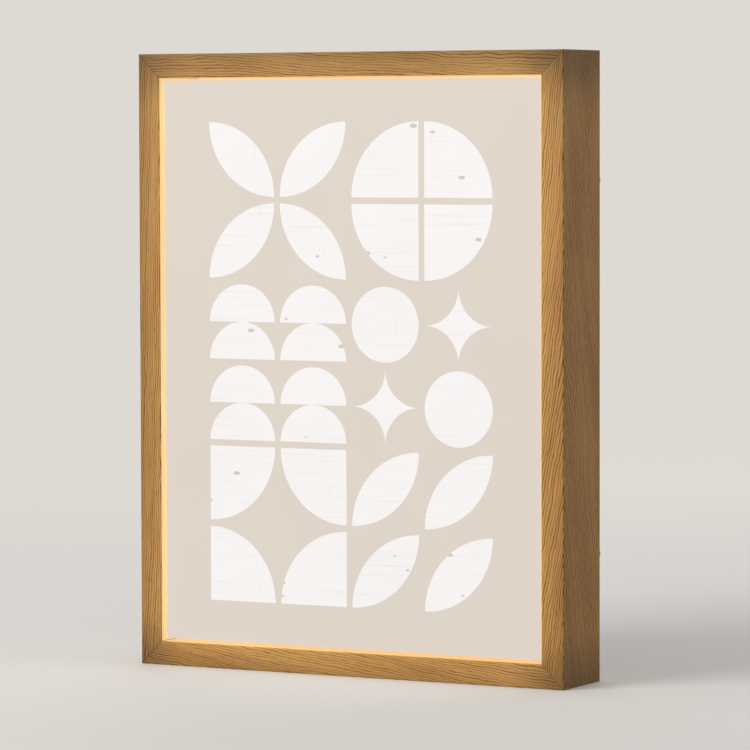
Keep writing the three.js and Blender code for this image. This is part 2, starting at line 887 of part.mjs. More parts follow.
// The switch body in its pocket, with the rocker on its two pins, and the inlet beside it.
function rockerShape() {
  const top = rockerTop * radian;
  const foot = rockerFoot * radian;
  const outline = new THREE.Shape();
  outline.moveTo(0, -rockerDip);
  outline.absarc(0, 0, rockerRadius, -top, foot);
  outline.lineTo(pivotRadius, rockerDepth);
  outline.lineTo(-pivotRadius, rockerDepth);
  outline.absarc(0, 0, rockerRadius, Math.PI - foot, Math.PI + top);
  outline.closePath();
  const cap = plate(outline, -rockerWidth / 2, rockerWidth / 2);
  const halfPin = rockerWidth / 2 + pivotLength;
  return join(cap, roundAlongY(pivotRadius, 0, 0, -halfPin, halfPin, fine));
}
function buildSwitch() {
  const bezel = roundedRectangle(
    switchX - bezelLength / 2,
    switchX + bezelLength / 2,
    pocketY - bezelWidth / 2,
    pocketY + bezelWidth / 2,
    bezelCorner,
  );
  const seat = pocketFloor - seatGap;
  const bezelPlate = new THREE.ExtrudeGeometry(bezel, {
    depth: bezelThickness,
    bevelEnabled: false,
    curveSegments: cornerSteps,
  }).translate(0, 0, seat - bezelThickness);
  const shell = block(
    switchX - switchLength / 2,
    switchX + switchLength / 2,
    pocketY - switchWidth / 2,
    pocketY + switchWidth / 2,
    seat - bezelThickness / 2,
    switchTop,
  );
  const spades = [-1, 1].map((side) => {
    const middle = switchX + side * spadeOffset;
    return block(
      middle - spadeThickness / 2,
      middle + spadeThickness / 2,
      pocketY - spadeWidth / 2,
      pocketY + spadeWidth / 2,
      switchTop - spadeThickness,
      spadeTop,
    );
  });
  const pivotZ = pocketFloor + pivotDepth;
  const well = block(
    switchX - rockerRadius - fitPlay,
    switchX + rockerRadius + fitPlay,
    pocketY - rockerWidth / 2 - turnPlay,
    pocketY + rockerWidth / 2 + turnPlay,
    seat - bezelThickness - overrun,
    pivotZ + wellDepth,
  );
  const halfPin = rockerWidth / 2 + pivotLength + turnPlay;
  const pins = roundAlongY(
    pivotRadius + turnPlay,
    switchX,
    pivotZ,
    pocketY - halfPin,
    pocketY + halfPin,
    fine,
  );
  piece(box, "switch_body", cut(join(bezelPlate, shell, ...spades), well, pins), blackPlastic);
  const rocker = piece(box, "rocker", rockerShape(), blackPlastic);
  rocker.rotation.y = -rockerTilt * radian;
  rocker.position.set(switchX, pocketY, pivotZ);

  const inlet = turned([
    [0, inletLength],
    [inletRadius, inletLength],
    [inletRadius, -seatGap],
    [inletFlangeRadius, -seatGap],
    [inletFlangeRadius, -inletFlangeThickness],
    [inletBore, -inletFlangeThickness],
    [inletBore, inletBoreDepth - inletFlangeThickness],
    [inletPin, inletBoreDepth - inletFlangeThickness],
    [inletPin, 0],
    [0, -inletPin],
  ].reverse());
  const placed = piece(box, "power_inlet", inlet, blackPlastic);
  placed.rotation.x = Math.PI / 2;
  placed.position.set(inletX, pocketY, pocketFloor);
}

// The leads: inlet to switch, switch to driver, driver to terminal block, driver through the
// board to the light bars, and terminal block to the strips round the panel and at the back.
function buildLeads() {
  const y = pocketY;
  const start = spadeTop + leadGap;
  const spadeSide = switchX + spadeOffset + spadeThickness / 2 + leadGap;
  const slitMiddle = leadRadius + seatGap - openingZ;
  lead(
    box,
    "inlet_lead",
    [
      [inletX, y, inletTop + leadGap],
      [inletX, y, inletTop + leadGap + leadRadius / 2],
      [inletX - 3 * leadRadius, y, slitMiddle],
      [spadeSide, y, slitMiddle],
    ],
    12,
  );
  lead(
    box,
    "supply_lead",
    [
      [leadX, y, start],
      [leadX, y, start + leadBend],
      [leadX - leadBend, y, driverPort - leadBend],
      [driverRight + leadGap + leadBend, y, driverPort],
      [driverRight + leadGap, y, driverPort],
    ],
    18,
  );
  const driverTop = driverZ + driverWidth / 2 + leadGap;
  const terminalFoot = terminalZ - terminalWidth / 2 - leadGap;
  lead(box, "jumper_lead", [[terminalX, y, driverTop], [terminalX, y, terminalFoot]], 2);
  const frontY = boardFront - leadRadius - seatGap;
  const barFoot = -barPitch * ((lightBars - 1) / 2 - 1) - lightBarWidth / 2;
  lead(
    box,
    "led_lead",
    [
      [driverLeft - leadGap, y, driverPort],
      [driverLeft - leadGap - leadBend, y, driverPort],
      [ledHoleX, y + leadRadius, ledHoleZ - leadBend],
      [ledHoleX, boardRear + leadRadius, ledHoleZ],
      [ledHoleX, boardFront - leadRadius, ledHoleZ],
      [ledHoleX, frontY - leadRadius, ledHoleZ + leadBend],
      [ledHoleX, frontY, barFoot - leadBend],
      [ledHoleX, frontY, barFoot - leadGap],
    ],
    22,
  );
  const terminalSide = driverRight + leadGap;
  const upper = terminalZ + terminalWidth / 4;
  const lower = terminalZ - terminalWidth / 4;
  const slitX = trayX + leadRadius + seatGap;
  lead(
    box,
    "strip_lead",
    [
      [terminalSide, y, upper],
      [terminalSide + leadBend, y, upper],
      [trayX - 2 * leadBend, y, stripPortZ],
      [trayX - trayThickness, y, stripPortZ],
      [slitX + leadRadius, y - leadRadius, stripPortZ],
      [slitX + leadRadius, y - leadBend, stripPortZ],
      [slitX, gapStripY + stripWidth / 2 + leadBend, stripPortZ],
      [slitX, gapStripY + stripWidth / 2 + leadGap, stripPortZ],
    ],
    22,
  );
  const wallInside = raisedX - sheetThickness;
  lead(
    box,
    "halo_lead",
    [
      [terminalSide, y, lower],
      [terminalSide + leadBend, y, lower],
      [wallInside - 2 * leadBend, y, lower],
      [wallInside - leadBend, haloStripY, lower],
      [wallInside, haloStripY, lower],
      [raisedX - seatGap, haloStripY, lower],
    ],
    18,
  );
}

// The bumpers on the bottom rail's land, which meet the wall.
function buildBumpers() {
  const height = standOff - seatGap - railPlay;
  for (const [name, side] of [
    ["left", -1],
    ["right", 1],
  ]) {
    const shape = turned([
      [0, 0],
      [bumperFoot, 0],
      [bumperFoot, railThickness],
      [bumperNose, height],
      [0, height],
    ]);
    const made = piece(box, "bumper_" + name, shape, rubber);
    made.position.set(side * (halfWidth - bumperInset), oakRear + seatGap, -landMiddle);
  }
}

buildFrame();
buildPanel();
buildInnerFrame();
buildBoard();
buildLightBars();
stripsRound("gap_strip", trayX, -trayZ, trayZ, gapStripY);
buildBackPanel();
stripsRound("halo_strip", raisedX, raisedLow, raisedHigh, haloStripY);
buildTurnButtons();
buildRails();
buildDriver();
buildSwitch();
buildLeads();
buildBumpers();

export default lightBox;
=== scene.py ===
"""Dresses a wall-hung light box: an oak frame round a back-lit printed panel.

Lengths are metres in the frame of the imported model: +X is the viewer's right, +Y points at
the wall and +Z is up. Run as a script, it makes the stage, then every piece.
"""

import functools
import json
import math

import bmesh
import bpy
from bpy.props import FloatProperty, FloatVectorProperty, PointerProperty
from bpy.types import Operator, Panel, PropertyGroup
from mathutils import Euler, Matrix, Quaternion, Vector

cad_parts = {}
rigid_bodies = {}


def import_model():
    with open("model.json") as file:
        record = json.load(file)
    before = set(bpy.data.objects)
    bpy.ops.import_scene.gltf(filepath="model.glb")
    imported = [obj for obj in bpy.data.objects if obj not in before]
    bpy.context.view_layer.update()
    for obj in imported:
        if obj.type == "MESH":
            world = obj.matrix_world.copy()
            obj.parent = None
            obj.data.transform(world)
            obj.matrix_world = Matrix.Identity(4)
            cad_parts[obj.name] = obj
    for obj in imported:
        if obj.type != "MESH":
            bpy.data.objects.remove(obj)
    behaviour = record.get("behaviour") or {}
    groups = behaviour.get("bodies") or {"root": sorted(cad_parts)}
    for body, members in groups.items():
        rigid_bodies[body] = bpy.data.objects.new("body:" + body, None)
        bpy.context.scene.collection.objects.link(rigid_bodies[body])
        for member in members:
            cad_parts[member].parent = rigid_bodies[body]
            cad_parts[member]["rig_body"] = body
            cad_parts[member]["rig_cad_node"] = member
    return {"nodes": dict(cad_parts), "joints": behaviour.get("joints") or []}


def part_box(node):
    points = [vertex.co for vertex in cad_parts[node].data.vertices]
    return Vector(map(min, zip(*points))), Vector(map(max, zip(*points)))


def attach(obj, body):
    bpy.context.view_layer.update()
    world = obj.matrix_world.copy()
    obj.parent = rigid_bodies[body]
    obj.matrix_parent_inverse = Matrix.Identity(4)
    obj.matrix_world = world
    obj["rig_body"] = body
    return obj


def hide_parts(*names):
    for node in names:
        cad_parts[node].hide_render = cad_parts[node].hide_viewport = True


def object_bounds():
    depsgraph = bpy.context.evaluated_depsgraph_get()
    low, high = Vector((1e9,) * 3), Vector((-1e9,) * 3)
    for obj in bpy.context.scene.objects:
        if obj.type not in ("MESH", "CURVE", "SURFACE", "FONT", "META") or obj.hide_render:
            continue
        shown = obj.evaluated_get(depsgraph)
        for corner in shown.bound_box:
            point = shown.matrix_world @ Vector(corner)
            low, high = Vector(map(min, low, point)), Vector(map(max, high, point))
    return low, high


bl_info = {
    "name": "Light Box",
    "version": (1, 0, 0),
    "blender": (4, 5, 0),
    "location": "3D View > Sidebar > Light Box",
    "description": "Makes the pieces of a wall-hung light box with an oak frame",
    "category": "Object",
}

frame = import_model()
cad_low, cad_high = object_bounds()

MM = 0.001
NEAR = 0.01 * MM  # places closer than this are the same
MERGE = NEAR / 10  # corners closer than this are one
OVERRUN = 5 * MM  # how far a cutter reaches past what it cuts
FLAT = math.radians(0.5)  # faces that turn less than this are one
SHARP = math.radians(40)  # edges that turn more than this are rounded
SMOOTH = math.radians(30)  # edges that turn less than this are shaded smooth
X, Y, Z = Vector((1, 0, 0)), Vector((0, 1, 0)), Vector((0, 0, 1))
CORNERS = {"top_left": (-1, 1), "top_right": (1, 1), "bottom_left": (-1, -1), "bottom_right": (1, -1)}
HOUSING = "housing"


def box_round(points):
    """The lowest and highest corner of a box round some points."""
    sides = list(zip(*points))
    return Vector(map(min, sides)), Vector(map(max, sides))


def span(*nodes):
    """The lowest and highest corner of some nodes of the frame taken together."""
    return box_round(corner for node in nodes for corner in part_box(node))


def centre_of(node):
    low, high = span(node)
    return (low + high) / 2


# Places that several pieces share, all read from the frame.
OAK_LOW, OAK_HIGH = span("top_rail", "bottom_rail", "left_stile", "right_stile")
OAK_MIDDLE = (OAK_LOW + OAK_HIGH) / 2
BAR_FACE = OAK_HIGH.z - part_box("top_rail")[0].z
PANEL_LOW, PANEL_HIGH = span("front_panel")
SHEET_LOW, SHEET_HIGH = span("back_panel")


def linear(colour):
    """Linear RGBA from an sRGB hex colour, or from a grey or RGB that is linear already."""
    if isinstance(colour, str):
        parts = (int(colour[i : i + 2], 16) / 255 for i in (1, 3, 5))
        colour = [c / 12.92 if c <= 0.04045 else ((c + 0.055) / 1.055) ** 2.4 for c in parts]
    elif isinstance(colour, float):
        colour = [colour] * 3
    return (*colour, 1.0)


# Settings.


def length(name, description, millimetres):
    return FloatProperty(name=name, description=description, default=millimetres * MM, unit="LENGTH")


def tint(name, description, code):
    parts = linear(code)[:3]
    return FloatVectorProperty(name=name, description=description, default=parts, subtype="COLOR")


def amount(name, description, value, **kind):
    return FloatProperty(name=name, description=description, default=value, **kind)


class OakSettings(PropertyGroup):
    """Sizes and colours of the oak bars."""

    outer_arris: length("Outer arris", "Radius of the planed edge along the outside of a bar", 0.8)
    inner_arris: length("Inner arris", "Radius of the edge beside the panel", 0.7)
    sanded: length("Sanded edge", "Width of the edges that only sanding has broken", 0.15)
    glue_line: length("Glue line", "Gap between two bars at a mitre", 0.2)
    ring: length("Ring spacing", "Distance from one row of pores to the next", 1.8)
    # Outer shade and corner shade set painted light and shade: the wood is lighter at the panel and darker
    # along the outside and at the mitres, not stained there by oil.
    shade: amount("Outer shade", "How much darker the wood is along the outside than at the panel", 0.35)
    painted_corner_shade: amount("Corner shade", "How much darker it is at the mitres, as end grain takes oil", 0.46)
    light: tint("Light grain", "Colour of the wood between two rows of pores", "#DCA961")
    middle: tint("Middle grain", "Colour of the wood where the rings fade into each other", "#C08A47")
    dark: tint("Dark grain", "Colour of the rows of pores", "#8C5C2A")


class PrintSettings(PropertyGroup):
    """Sizes and colours of the printed panel."""

    tile: length("Motif", "Side of the square that a motif fills", 53)
    gutter: length("Gutter", "Gap between two motifs", 4.6)
    ink: length("Ink", "Thickness of the white ink", 0.06)
    corner: length("Corner", "Radius of the panel's corners", 1)
    chamfer: length("Chamfer", "Width of the panel's flamed edge", 0.3)
    ground: tint("Ground", "Colour printed round the motifs", "#E2D7CB")
    white: tint("White", "Colour of the motifs", "#FBF8F7")
    glow: amount("Glow", "Light that comes through the panel from behind it", 0.8)
    reflected: amount("Reflected", "Share of the print's colour that the room's light brings out", 0.22)


class LightSettings(PropertyGroup):
    """The light strips round the panel and behind the box."""

    warm: tint("Warm white", "Colour of the light strips", "#FFCF8A")
    lit_oak: tint("Lit oak", "Light on the oak inside the slit", "#C8BE92")
    lit_coat: tint("Lit coat", "Light on the white coat inside the slit", "#F0D2A2")
    lit_edge: tint("Lit edge", "Light that leaves the panel at its edge", "#CCAE84")
    coat_glow: amount("Coat glow", "How strongly the strips light the white things beside them", 0.3)
    slit: amount("Slit", "Strength of the strips round the panel", 0.35)
    halo: amount("Halo", "Strength of the strips behind the box", 1.8)
    pitch: length("Diode pitch", "Distance between two diodes", 26 / 3)
    diode: length("Diode", "Side of a diode", 3.2)
    tape: length("Tape", "Thickness of the strip", 0.5)


class HardwareSettings(PropertyGroup):
    """Sizes of the metal and plastic pieces."""

    steel: length("Sheet", "Thickness of the back panel's steel", 1.2)
    fold: length("Fold", "Radius where the pressed sheet turns", 1.6)
    raised_corner: length("Raised corner", "Radius of the raised middle's corners", 9)
    rail: length("Rail", "Thickness of the hanging rails", 2.5)
    flange: length("Flange", "Height of a rail's flange", 20)
    edge: length("Edge", "Radius of small moulded and deburred edges", 0.3)
    shank: length("Screw", "Radius of a screw's shank", 1.5)


class StageSettings(PropertyGroup):
    """Floor, lamps and camera."""

    floor: tint("Floor", "Colour of the floor", "#F0EDE8")
    backdrop: tint("Backdrop", "Colour behind the floor", "#DEDAD3")
    sky: amount("Sky", "Strength of the light from all round", 0.3)
    key: amount("Key", "Power of the large lamp at the front", 52.0, subtype="POWER")
    rim: amount("Rim", "Power of the lamp behind", 22.0, subtype="POWER")
    lift: amount("Lift", "How much paler the floor looks than it is lit", 0.1)
    lens: amount("Lens", "Focal length on a 36 mm sensor", 211.9, unit="CAMERA")


SETTINGS = {
    "light_box_oak": OakSettings,
    "light_box_print": PrintSettings,
    "light_box_light": LightSettings,
    "light_box_hardware": HardwareSettings,
    "light_box_stage": StageSettings,
}


# Modelling.


def pick(*objects):
    """Selects these objects and no other, the first one active, or none at all."""
    bpy.ops.object.select_all(action="DESELECT")
    for each in objects:
        each.select_set(True)
    bpy.context.view_layer.objects.active = objects[0] if objects else None


def settle(made, name):
    """Names a new object and puts its place and turn into its mesh."""
    made.name = name
    pick(made)
    bpy.ops.object.transform_apply(location=True, rotation=True, scale=True)
    return made


def add_block(name, low, high):
    """A block between two corners."""
    low, high = Vector(low), Vector(high)
    pick()
    bpy.ops.mesh.primitive_cube_add(size=1, location=(low + high) / 2, scale=high - low)
    return settle(bpy.context.object, name)


def add_rod(name, radius, start, end, facets=32, far_radius=None):
    """A round bar between two points, or a cone if its far end has another radius."""
    start, end = Vector(start), Vector(end)
    pick()
    bpy.ops.mesh.primitive_cone_add(
        vertices=facets,
        radius1=radius,
        radius2=radius if far_radius is None else far_radius,
        depth=(end - start).length,
        location=(start + end) / 2,
        rotation=(end - start).to_track_quat("Z", "Y").to_euler(),
    )
    return settle(bpy.context.object, name)


def add_pin(name, radius, place, start, end, facets=32, far_radius=None):
    """A rod along Y through a place, from one depth to another."""
    ends = (place[0], start, place[2]), (place[0], end, place[2])
    return add_rod(name, radius, *ends, facets, far_radius)


def put(made, place=(0, 0, 0), turn=(0, 0, 0), scale=1):
    """Scales and turns a piece about the origin and moves it, in its mesh."""
    made.scale = (scale,) * 3
    made.rotation_euler = Euler(turn)
    made.location = place
    return settle(made, made.name)


def merged_copy(node, name):
    """A copy of a node of the frame with its loose triangles merged into flat faces."""
    copy = frame["nodes"][node].copy()
    copy.data = copy.data.copy()
    copy.name = name
    copy.parent = None
    copy.data.materials.clear()
    bpy.context.scene.collection.objects.link(copy)
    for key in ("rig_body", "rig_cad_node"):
        del copy[key]
    shape(copy, "VERT", (), bpy.ops.mesh.remove_doubles, threshold=MERGE)
    return shape(copy, "VERT", (), bpy.ops.mesh.dissolve_limited, angle_limit=FLAT)


def shape(made, kind, tests, action, **settings):
    """Runs one edit-mode operator on the vertices, edges or faces that pass every test."""
    pick(made)
    bpy.ops.object.mode_set(mode="EDIT")
    bpy.ops.mesh.select_mode(type=kind)
    bpy.ops.mesh.select_all(action="DESELECT")
    mesh = bmesh.from_edit_mesh(made.data)
    for element in {"VERT": mesh.verts, "EDGE": mesh.edges, "FACE": mesh.faces}[kind]:
        if all(test(element) for test in tests):
            element.select_set(True)
    mesh.select_flush_mode()
    bmesh.update_edit_mesh(made.data)
    action(**settings)
    bpy.ops.object.mode_set(mode="OBJECT")
    return made


def middle(element):
    """The middle of a vertex, edge or face."""
    corners = getattr(element, "verts", [element])
    return sum((corner.co for corner in corners), Vector()) / len(corners)


def near(value, target):
    return abs(value - target) < NEAR


def at(axis, place):
    """A test for what has its middle at a place along an axis."""
    return lambda element: near(middle(element).dot(axis), place)


def along(axis):
    """A test for edges that run along an axis."""

    def test(edge):
        step = edge.verts[1].co - edge.verts[0].co
        return abs(step.dot(axis)) > 0.999 * step.length

    return test


def slice_off(made, point, away):
    """Cuts a piece by a plane and closes it, taking off what lies on the far side."""
    cut = {"plane_co": point, "plane_no": away, "use_fill": True, "clear_outer": True}
    return shape(made, "VERT", (), bpy.ops.mesh.bisect, **cut)


def push(made, tests, step):
    """Extrudes faces along a step."""
    extrude = bpy.ops.mesh.extrude_region_move
    return shape(made, "FACE", tests, extrude, TRANSFORM_OT_translate={"value": tuple(step)})


def slide(made, tests, step):
    """Moves corners along a step."""
    return shape(made, "VERT", tests, bpy.ops.transform.translate, value=step)


def narrow(made, tests, share, place=(0, 0, 0)):
    """Draws corners in towards the line along Y through a place."""
    drawn = {"value": (share, 1, share), "center_override": place}
    return shape(made, "VERT", tests, bpy.ops.transform.resize, **drawn)


def inset(made, tests, width, depth=0.0):
    """Insets faces by a width, and moves them along their normals."""
    return shape(made, "FACE", tests, bpy.ops.mesh.inset, thickness=width, depth=depth)


def round_edges(made, tests, radius, segments):
    """Rounds edges of a piece."""
    return shape(made, "EDGE", tests, bpy.ops.mesh.bevel, offset=radius, segments=segments)


def modify(made, kind, **settings):
    """Adds a modifier and applies it."""
    pick(made)
    modifier = made.modifiers.new(kind, kind)
    for name, value in settings.items():
        setattr(modifier, name, value)
    bpy.ops.object.modifier_apply(modifier=modifier.name)
    return made


def combine(made, tools, operation="DIFFERENCE"):
    """Cuts tools out of a piece, or joins them to it or keeps what they share."""
    for tool in tools:
        modify(made, "BOOLEAN", object=tool, operation=operation, solver="EXACT")
        bpy.data.objects.remove(tool)
    return shape(made, "EDGE", (), bpy.ops.mesh.dissolve_degenerate, threshold=MERGE)


def soften(made, radius, segments=2):
    """Rounds every sharp edge."""
    limit = {"limit_method": "ANGLE", "angle_limit": SHARP}
    return modify(made, "BEVEL", width=radius, segments=segments, use_clamp_overlap=True, **limit)


def repeat(made, count, step):
    """Copies a piece along a step."""
    fixed = {"use_relative_offset": False, "use_constant_offset": True}
    return modify(made, "ARRAY", count=count, constant_offset_displace=step, **fixed)


def weld(*objects):
    """Makes one object of several."""
    pick(*objects)
    bpy.ops.object.join()
    return objects[0]


def paint(made, material):
    """Gives a whole piece one material."""
    made.data.materials.clear()
    made.data.materials.append(material)
    return made


def repaint(made, material, test):
    """Gives the faces that pass a test a further material."""
    made.data.materials.append(material)
    for face in made.data.polygons:
        if test(face):
            face.material_index = len(made.data.materials) - 1
    return made


def finish_piece(made, slot, body, *nodes):
    """Shades a finished piece and ties it to the frame."""
    pick(made)
    bpy.ops.object.shade_smooth_by_angle(angle=SMOOTH)
    modify(made, "WEIGHTED_NORMAL", keep_sharp=True)
    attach(made, body)
    if nodes:
        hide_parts(*nodes)


def dress(material, *nodes):
    """Gives nodes of the frame, whose shape is right as it is, their material."""
    for node in nodes:
        frame["nodes"][node].material_slots[0].material = material


def nodes_named(*parts):
    """The nodes of the frame whose names hold one of these parts."""
    return [name for name in frame["nodes"] if any(part in name for part in parts)]


# Materials.


def feed(node, *inputs, **named):
    """Gives the inputs that a node shows, in order or by name, a value or a link.

    A colour is a hex code, a grey or linear RGB, and a node stands for its first output.
    """
    shown = [socket for socket in node.inputs if socket.enabled]
    by_name = {socket.name.replace(" ", "_"): socket for socket in shown}
    for socket, value in (*zip(shown, inputs), *((by_name[name], named[name]) for name in named)):
        if isinstance(value, bpy.types.Node):
            value = next(output for output in value.outputs if output.enabled)
        if isinstance(value, bpy.types.NodeSocket):
            node.id_data.links.new(value, socket)
        else:
            socket.default_value = linear(value) if socket.type == "RGBA" else value


def add_node(tree, kind, *inputs, stops=(), **named):
    """Adds a node. A dot parts its kind from its operation or from how it blends.

    Its inputs come in order, or by names with a capital. The other names are its settings.
    """
    kind, _, way = kind.partition(".")
    made = tree.nodes.new("ShaderNode" + kind)
    if kind == "Mix":
        made.data_type, made.blend_type = "RGBA", way or "MIX"
    elif way:
        made.operation = way
    for name, value in named.items():
        if name[0].islower():
            setattr(made, name, value)
    for number, (place, colour) in enumerate(dict(stops).items()):
        ramp = made.color_ramp.elements
        if number == 0:
            ramp.remove(ramp[1])
        stop = ramp.new(place) if number else ramp[0]
        stop.position, stop.color = place, linear(colour)
    feed(made, *inputs, **{name: value for name, value in named.items() if name[0].isupper()})
    return made


def start_material(name, lit=None, strength=1.0, **sockets):
    """A material with its shader: gives it, its node adder, the shader and the place in mm."""
    made = bpy.data.materials.new(name)
    made.use_nodes = True
    made.node_tree.nodes.clear()
    add = functools.partial(add_node, made.node_tree)
    if lit is not None:
        sockets.update(Emission_Color=lit, Emission_Strength=strength)
    shader = add("BsdfPrincipled", **sockets)
    add("OutputMaterial", shader)
    place = add("Mapping", add("TexCoord").outputs["Object"], Scale=(1 / MM, 1 / MM, 1 / MM))
    return made, add, shader, place


def mottled(name, sizes, colours, detail=2.0, **finish):
    """A material whose colour drifts with a cloudy pattern, which comes last in what it gives."""
    made, add, shader, place = start_material(name, **finish)
    pattern = speckle(add, place, sizes, detail)
    feed(shader, add("ValToRGB", pattern, stops=colours))
    return made, add, shader, place, pattern


def speckle(add, place, sizes, detail=2.0):
    """A cloudy pattern from 0 to 1, with features of one size in mm or of one for X, Y and Z."""
    shares = [1 / size for size in (sizes if isinstance(sizes, tuple) else (sizes,) * 3)]
    return add("TexNoise", add("VectorMath.MULTIPLY", place, shares), Scale=1.0, Detail=detail)


def oiled_oak(name, oak, angle, start, board, lit=None):
    """Oak, planed, sanded and oiled.

    Each year's first wood is a row of open pores, which the eye sees as a dark, broken line;
    the denser wood between them is light and has a satin sheen. The pores are drawn about
    twice as wide as they are, because real ones would not show. Each bar is made lighter or
    darker as a whole, which is painted light and shade. Inside the slit the strips light the
    wood, and that light is given as the wood's own, so that it stays in any view.
    """
    made, add, shader, place = start_material(name, Specular_IOR_Level=0.3)
    bar = add("Mapping", place, start, (0, math.radians(angle), 0))
    _, depth, width = add("SeparateXYZ", bar).outputs
    # The rings cross the bar at a slant, and drift and waver along it.
    flat = add("Math.ADD", width, add("Math.MULTIPLY", depth, 0.8))
    drift = add("Math.MULTIPLY_ADD", speckle(add, bar, (170, 70, 45), 1.0), 18.0, -9.0)
    waver = add("Math.MULTIPLY_ADD", speckle(add, bar, (18, 9, 7)), 3.6, -1.8)
    field = add("Math.ADD", flat, add("Math.ADD", drift, waver))
    rings = add("Math.DIVIDE", field, oak.ring / MM)
    # Each ring is dark where it starts and lightens towards its end, some years less than others.
    row = {0.0: 0.12, 0.14: 0.0, 0.42: 0.8, 0.74: 1.0, 1.0: 0.42}
    ring = add("ValToRGB", add("Math.FRACT", rings), stops=row)
    year = add("TexWhiteNoise", add("Math.FLOOR", rings), noise_dimensions="1D")
    strength = add("Math.MULTIPLY_ADD", year, 0.55, 0.45)
    faded = add("Math.MULTIPLY_ADD", add("Math.SUBTRACT", ring, 1.0), strength, 1.0)
    fibres = add("Math.MULTIPLY", speckle(add, bar, (34, 0.9, 0.9), 3.0), 0.5)
    cloud = add("Math.MULTIPLY_ADD", speckle(add, bar, (90, 30, 22), 1.0), 0.3, -0.15)
    tone = add("Math.ADD", add("Math.MULTIPLY_ADD", faded, 0.5, fibres), cloud)
    wood = add("ValToRGB", tone, stops={0.3: oak.dark, 0.54: oak.middle, 0.8: oak.light})
    dashes = add("ValToRGB", speckle(add, bar, (7, 0.7, 0.7), 1.0), stops={0.56: 0.0, 0.66: 1.0})
    pores = add("Math.MULTIPLY", dashes, add("Math.SUBTRACT", 1.1, faded))
    pores = add("Math.MULTIPLY", pores, 0.7)
    wood = add("Mix", pores, wood, "#6E4720")
    # Painted light and shade: lighter at the panel, darker along the outside, on the outer faces and at the
    # mitres.
    shade = painted_slit_shade(add, place, oak, board)
    relief = add("Math.SUBTRACT", tone, pores)
    feed(
        shader,
        add("Mix.MULTIPLY", 1.0, wood, shade),
        Roughness=add("Math.MULTIPLY_ADD", tone, -0.16, 0.6),
        Normal=add("Bump", 0.5, 0.12 * MM, Height=relief),
    )
    if lit:
        light = add("ValToRGB", tone, stops={0.3: 0.9, 0.8: 1.0})
        feed(shader, Emission_Color=add("Mix.MULTIPLY", 1.0, lit, light), Emission_Strength=1.0)
    return made


def painted_slit_shade(add, place, oak, board):
    """Painted light and shade over a board: lighter at the panel, darker outside and at the mitres."""
    sides = add("SeparateXYZ", add("Mapping", place, -OAK_MIDDLE / MM)).outputs
    half = (OAK_HIGH - OAK_LOW) / 2 / MM
    bar = BAR_FACE / MM
    outward = [add("Math.SUBTRACT", add("Math.ABSOLUTE", sides[i]), half[i] - bar) for i in (0, 2)]
    # Of the painted shade, 0.4 goes to the panel's side as lighter wood and 0.6 to the outside as darker.
    ends = (board * (1 + oak.shade * 0.4), board * (1 - oak.shade * 0.6))
    outer = add("MapRange", add("Math.MAXIMUM", *outward), 0.0, bar, *ends)
    corner = (add("Math.MINIMUM", *outward), -1.6 * bar, bar, 1.0, 1.0 - oak.painted_corner_shade)
    mitre = add("MapRange", *corner, interpolation_type="SMOOTHSTEP")
    return add("Math.MULTIPLY", outer, mitre)


def pressed_beech():
    """Beech, pressed and cut: pale, close-grained, with short dark flecks along the grain."""
    made, add, shader, place = start_material("pressed_beech", Roughness=0.6)
    flecks = add("ValToRGB", speckle(add, place, (0.5, 5, 0.5), 1.0), stops={0.6: 0.0, 0.7: 1.0})
    grain = speckle(add, place, (3, 40, 3))
    wood = add("ValToRGB", grain, stops={0.3: "#BE8F5E", 0.7: "#D3A874"})
    bump = add("Bump", 0.4, 0.05 * MM, Height=flecks)
    feed(shader, add("Mix", flecks, wood, "#8F6238"), Normal=bump)
    return made


def lit_print(name, settings, colour, wear):
    """Ink on opal acrylic, printed, slightly satin and lit from behind.

    Most of its light is its own, so it stays even and pale in the shade of the frame. Where
    the press carried too little ink, the white has small grey-beige specks and hairlines.
    """
    finish = {"Roughness": 0.42, "Specular_IOR_Level": 0.35, "Emission_Strength": settings.glow}
    made, add, shader, place = start_material(name, **finish)
    mottle = add("ValToRGB", speckle(add, place, (45, 45, 60), 3.0), stops={0.3: 0.98, 0.7: 1.0})
    shade = add("Mix.MULTIPLY", 1.0, colour, mottle)
    if wear:
        shade = add("Mix", worn_ink(add, place), shade, "#C6BDB4")
    feed(
        shader,
        add("HueSaturation", Color=shade, Value=settings.reflected),
        Emission_Color=shade,
        Normal=add("Bump", 0.3, 0.02 * MM, Height=speckle(add, place, 1.4)),
    )
    return made


def worn_ink(add, place):
    """Where the ink is thin, from 0 to 1: flat specks, level hairlines and a few cracks."""
    # Cells of 26 by 13 mm. About a quarter have a speck: only theirs comes out larger than nothing.
    face = add("Mapping", place, Rotation=(math.pi / 2, 0, 0), Scale=(1 / 26, 1, 1 / 13))
    ragged = add("TexNoise", place, Scale=1.1, Detail=2.0).outputs["Color"]
    cells = add("TexVoronoi", add("Mix.ADD", 0.04, face, ragged), Scale=1.0, voronoi_dimensions="2D")
    luck = add("TexWhiteNoise", cells.outputs["Position"], noise_dimensions="3D")
    size = add("Math.MULTIPLY_ADD", luck, 0.5, -0.38)
    specks = add("Math.MULTIPLY", add("Math.LESS_THAN", cells, size), 0.75)
    hairs = add("ValToRGB", speckle(add, place, (60, 40, 0.8), 1.0), stops={0.58: 0.0, 0.75: 0.16})
    cracks = add("ValToRGB", speckle(add, place, (0.4, 90, 28), 0.0), stops={0.83: 0.0, 0.85: 0.6})
    return add("Math.MAXIMUM", add("Math.MAXIMUM", specks, hairs), cracks)


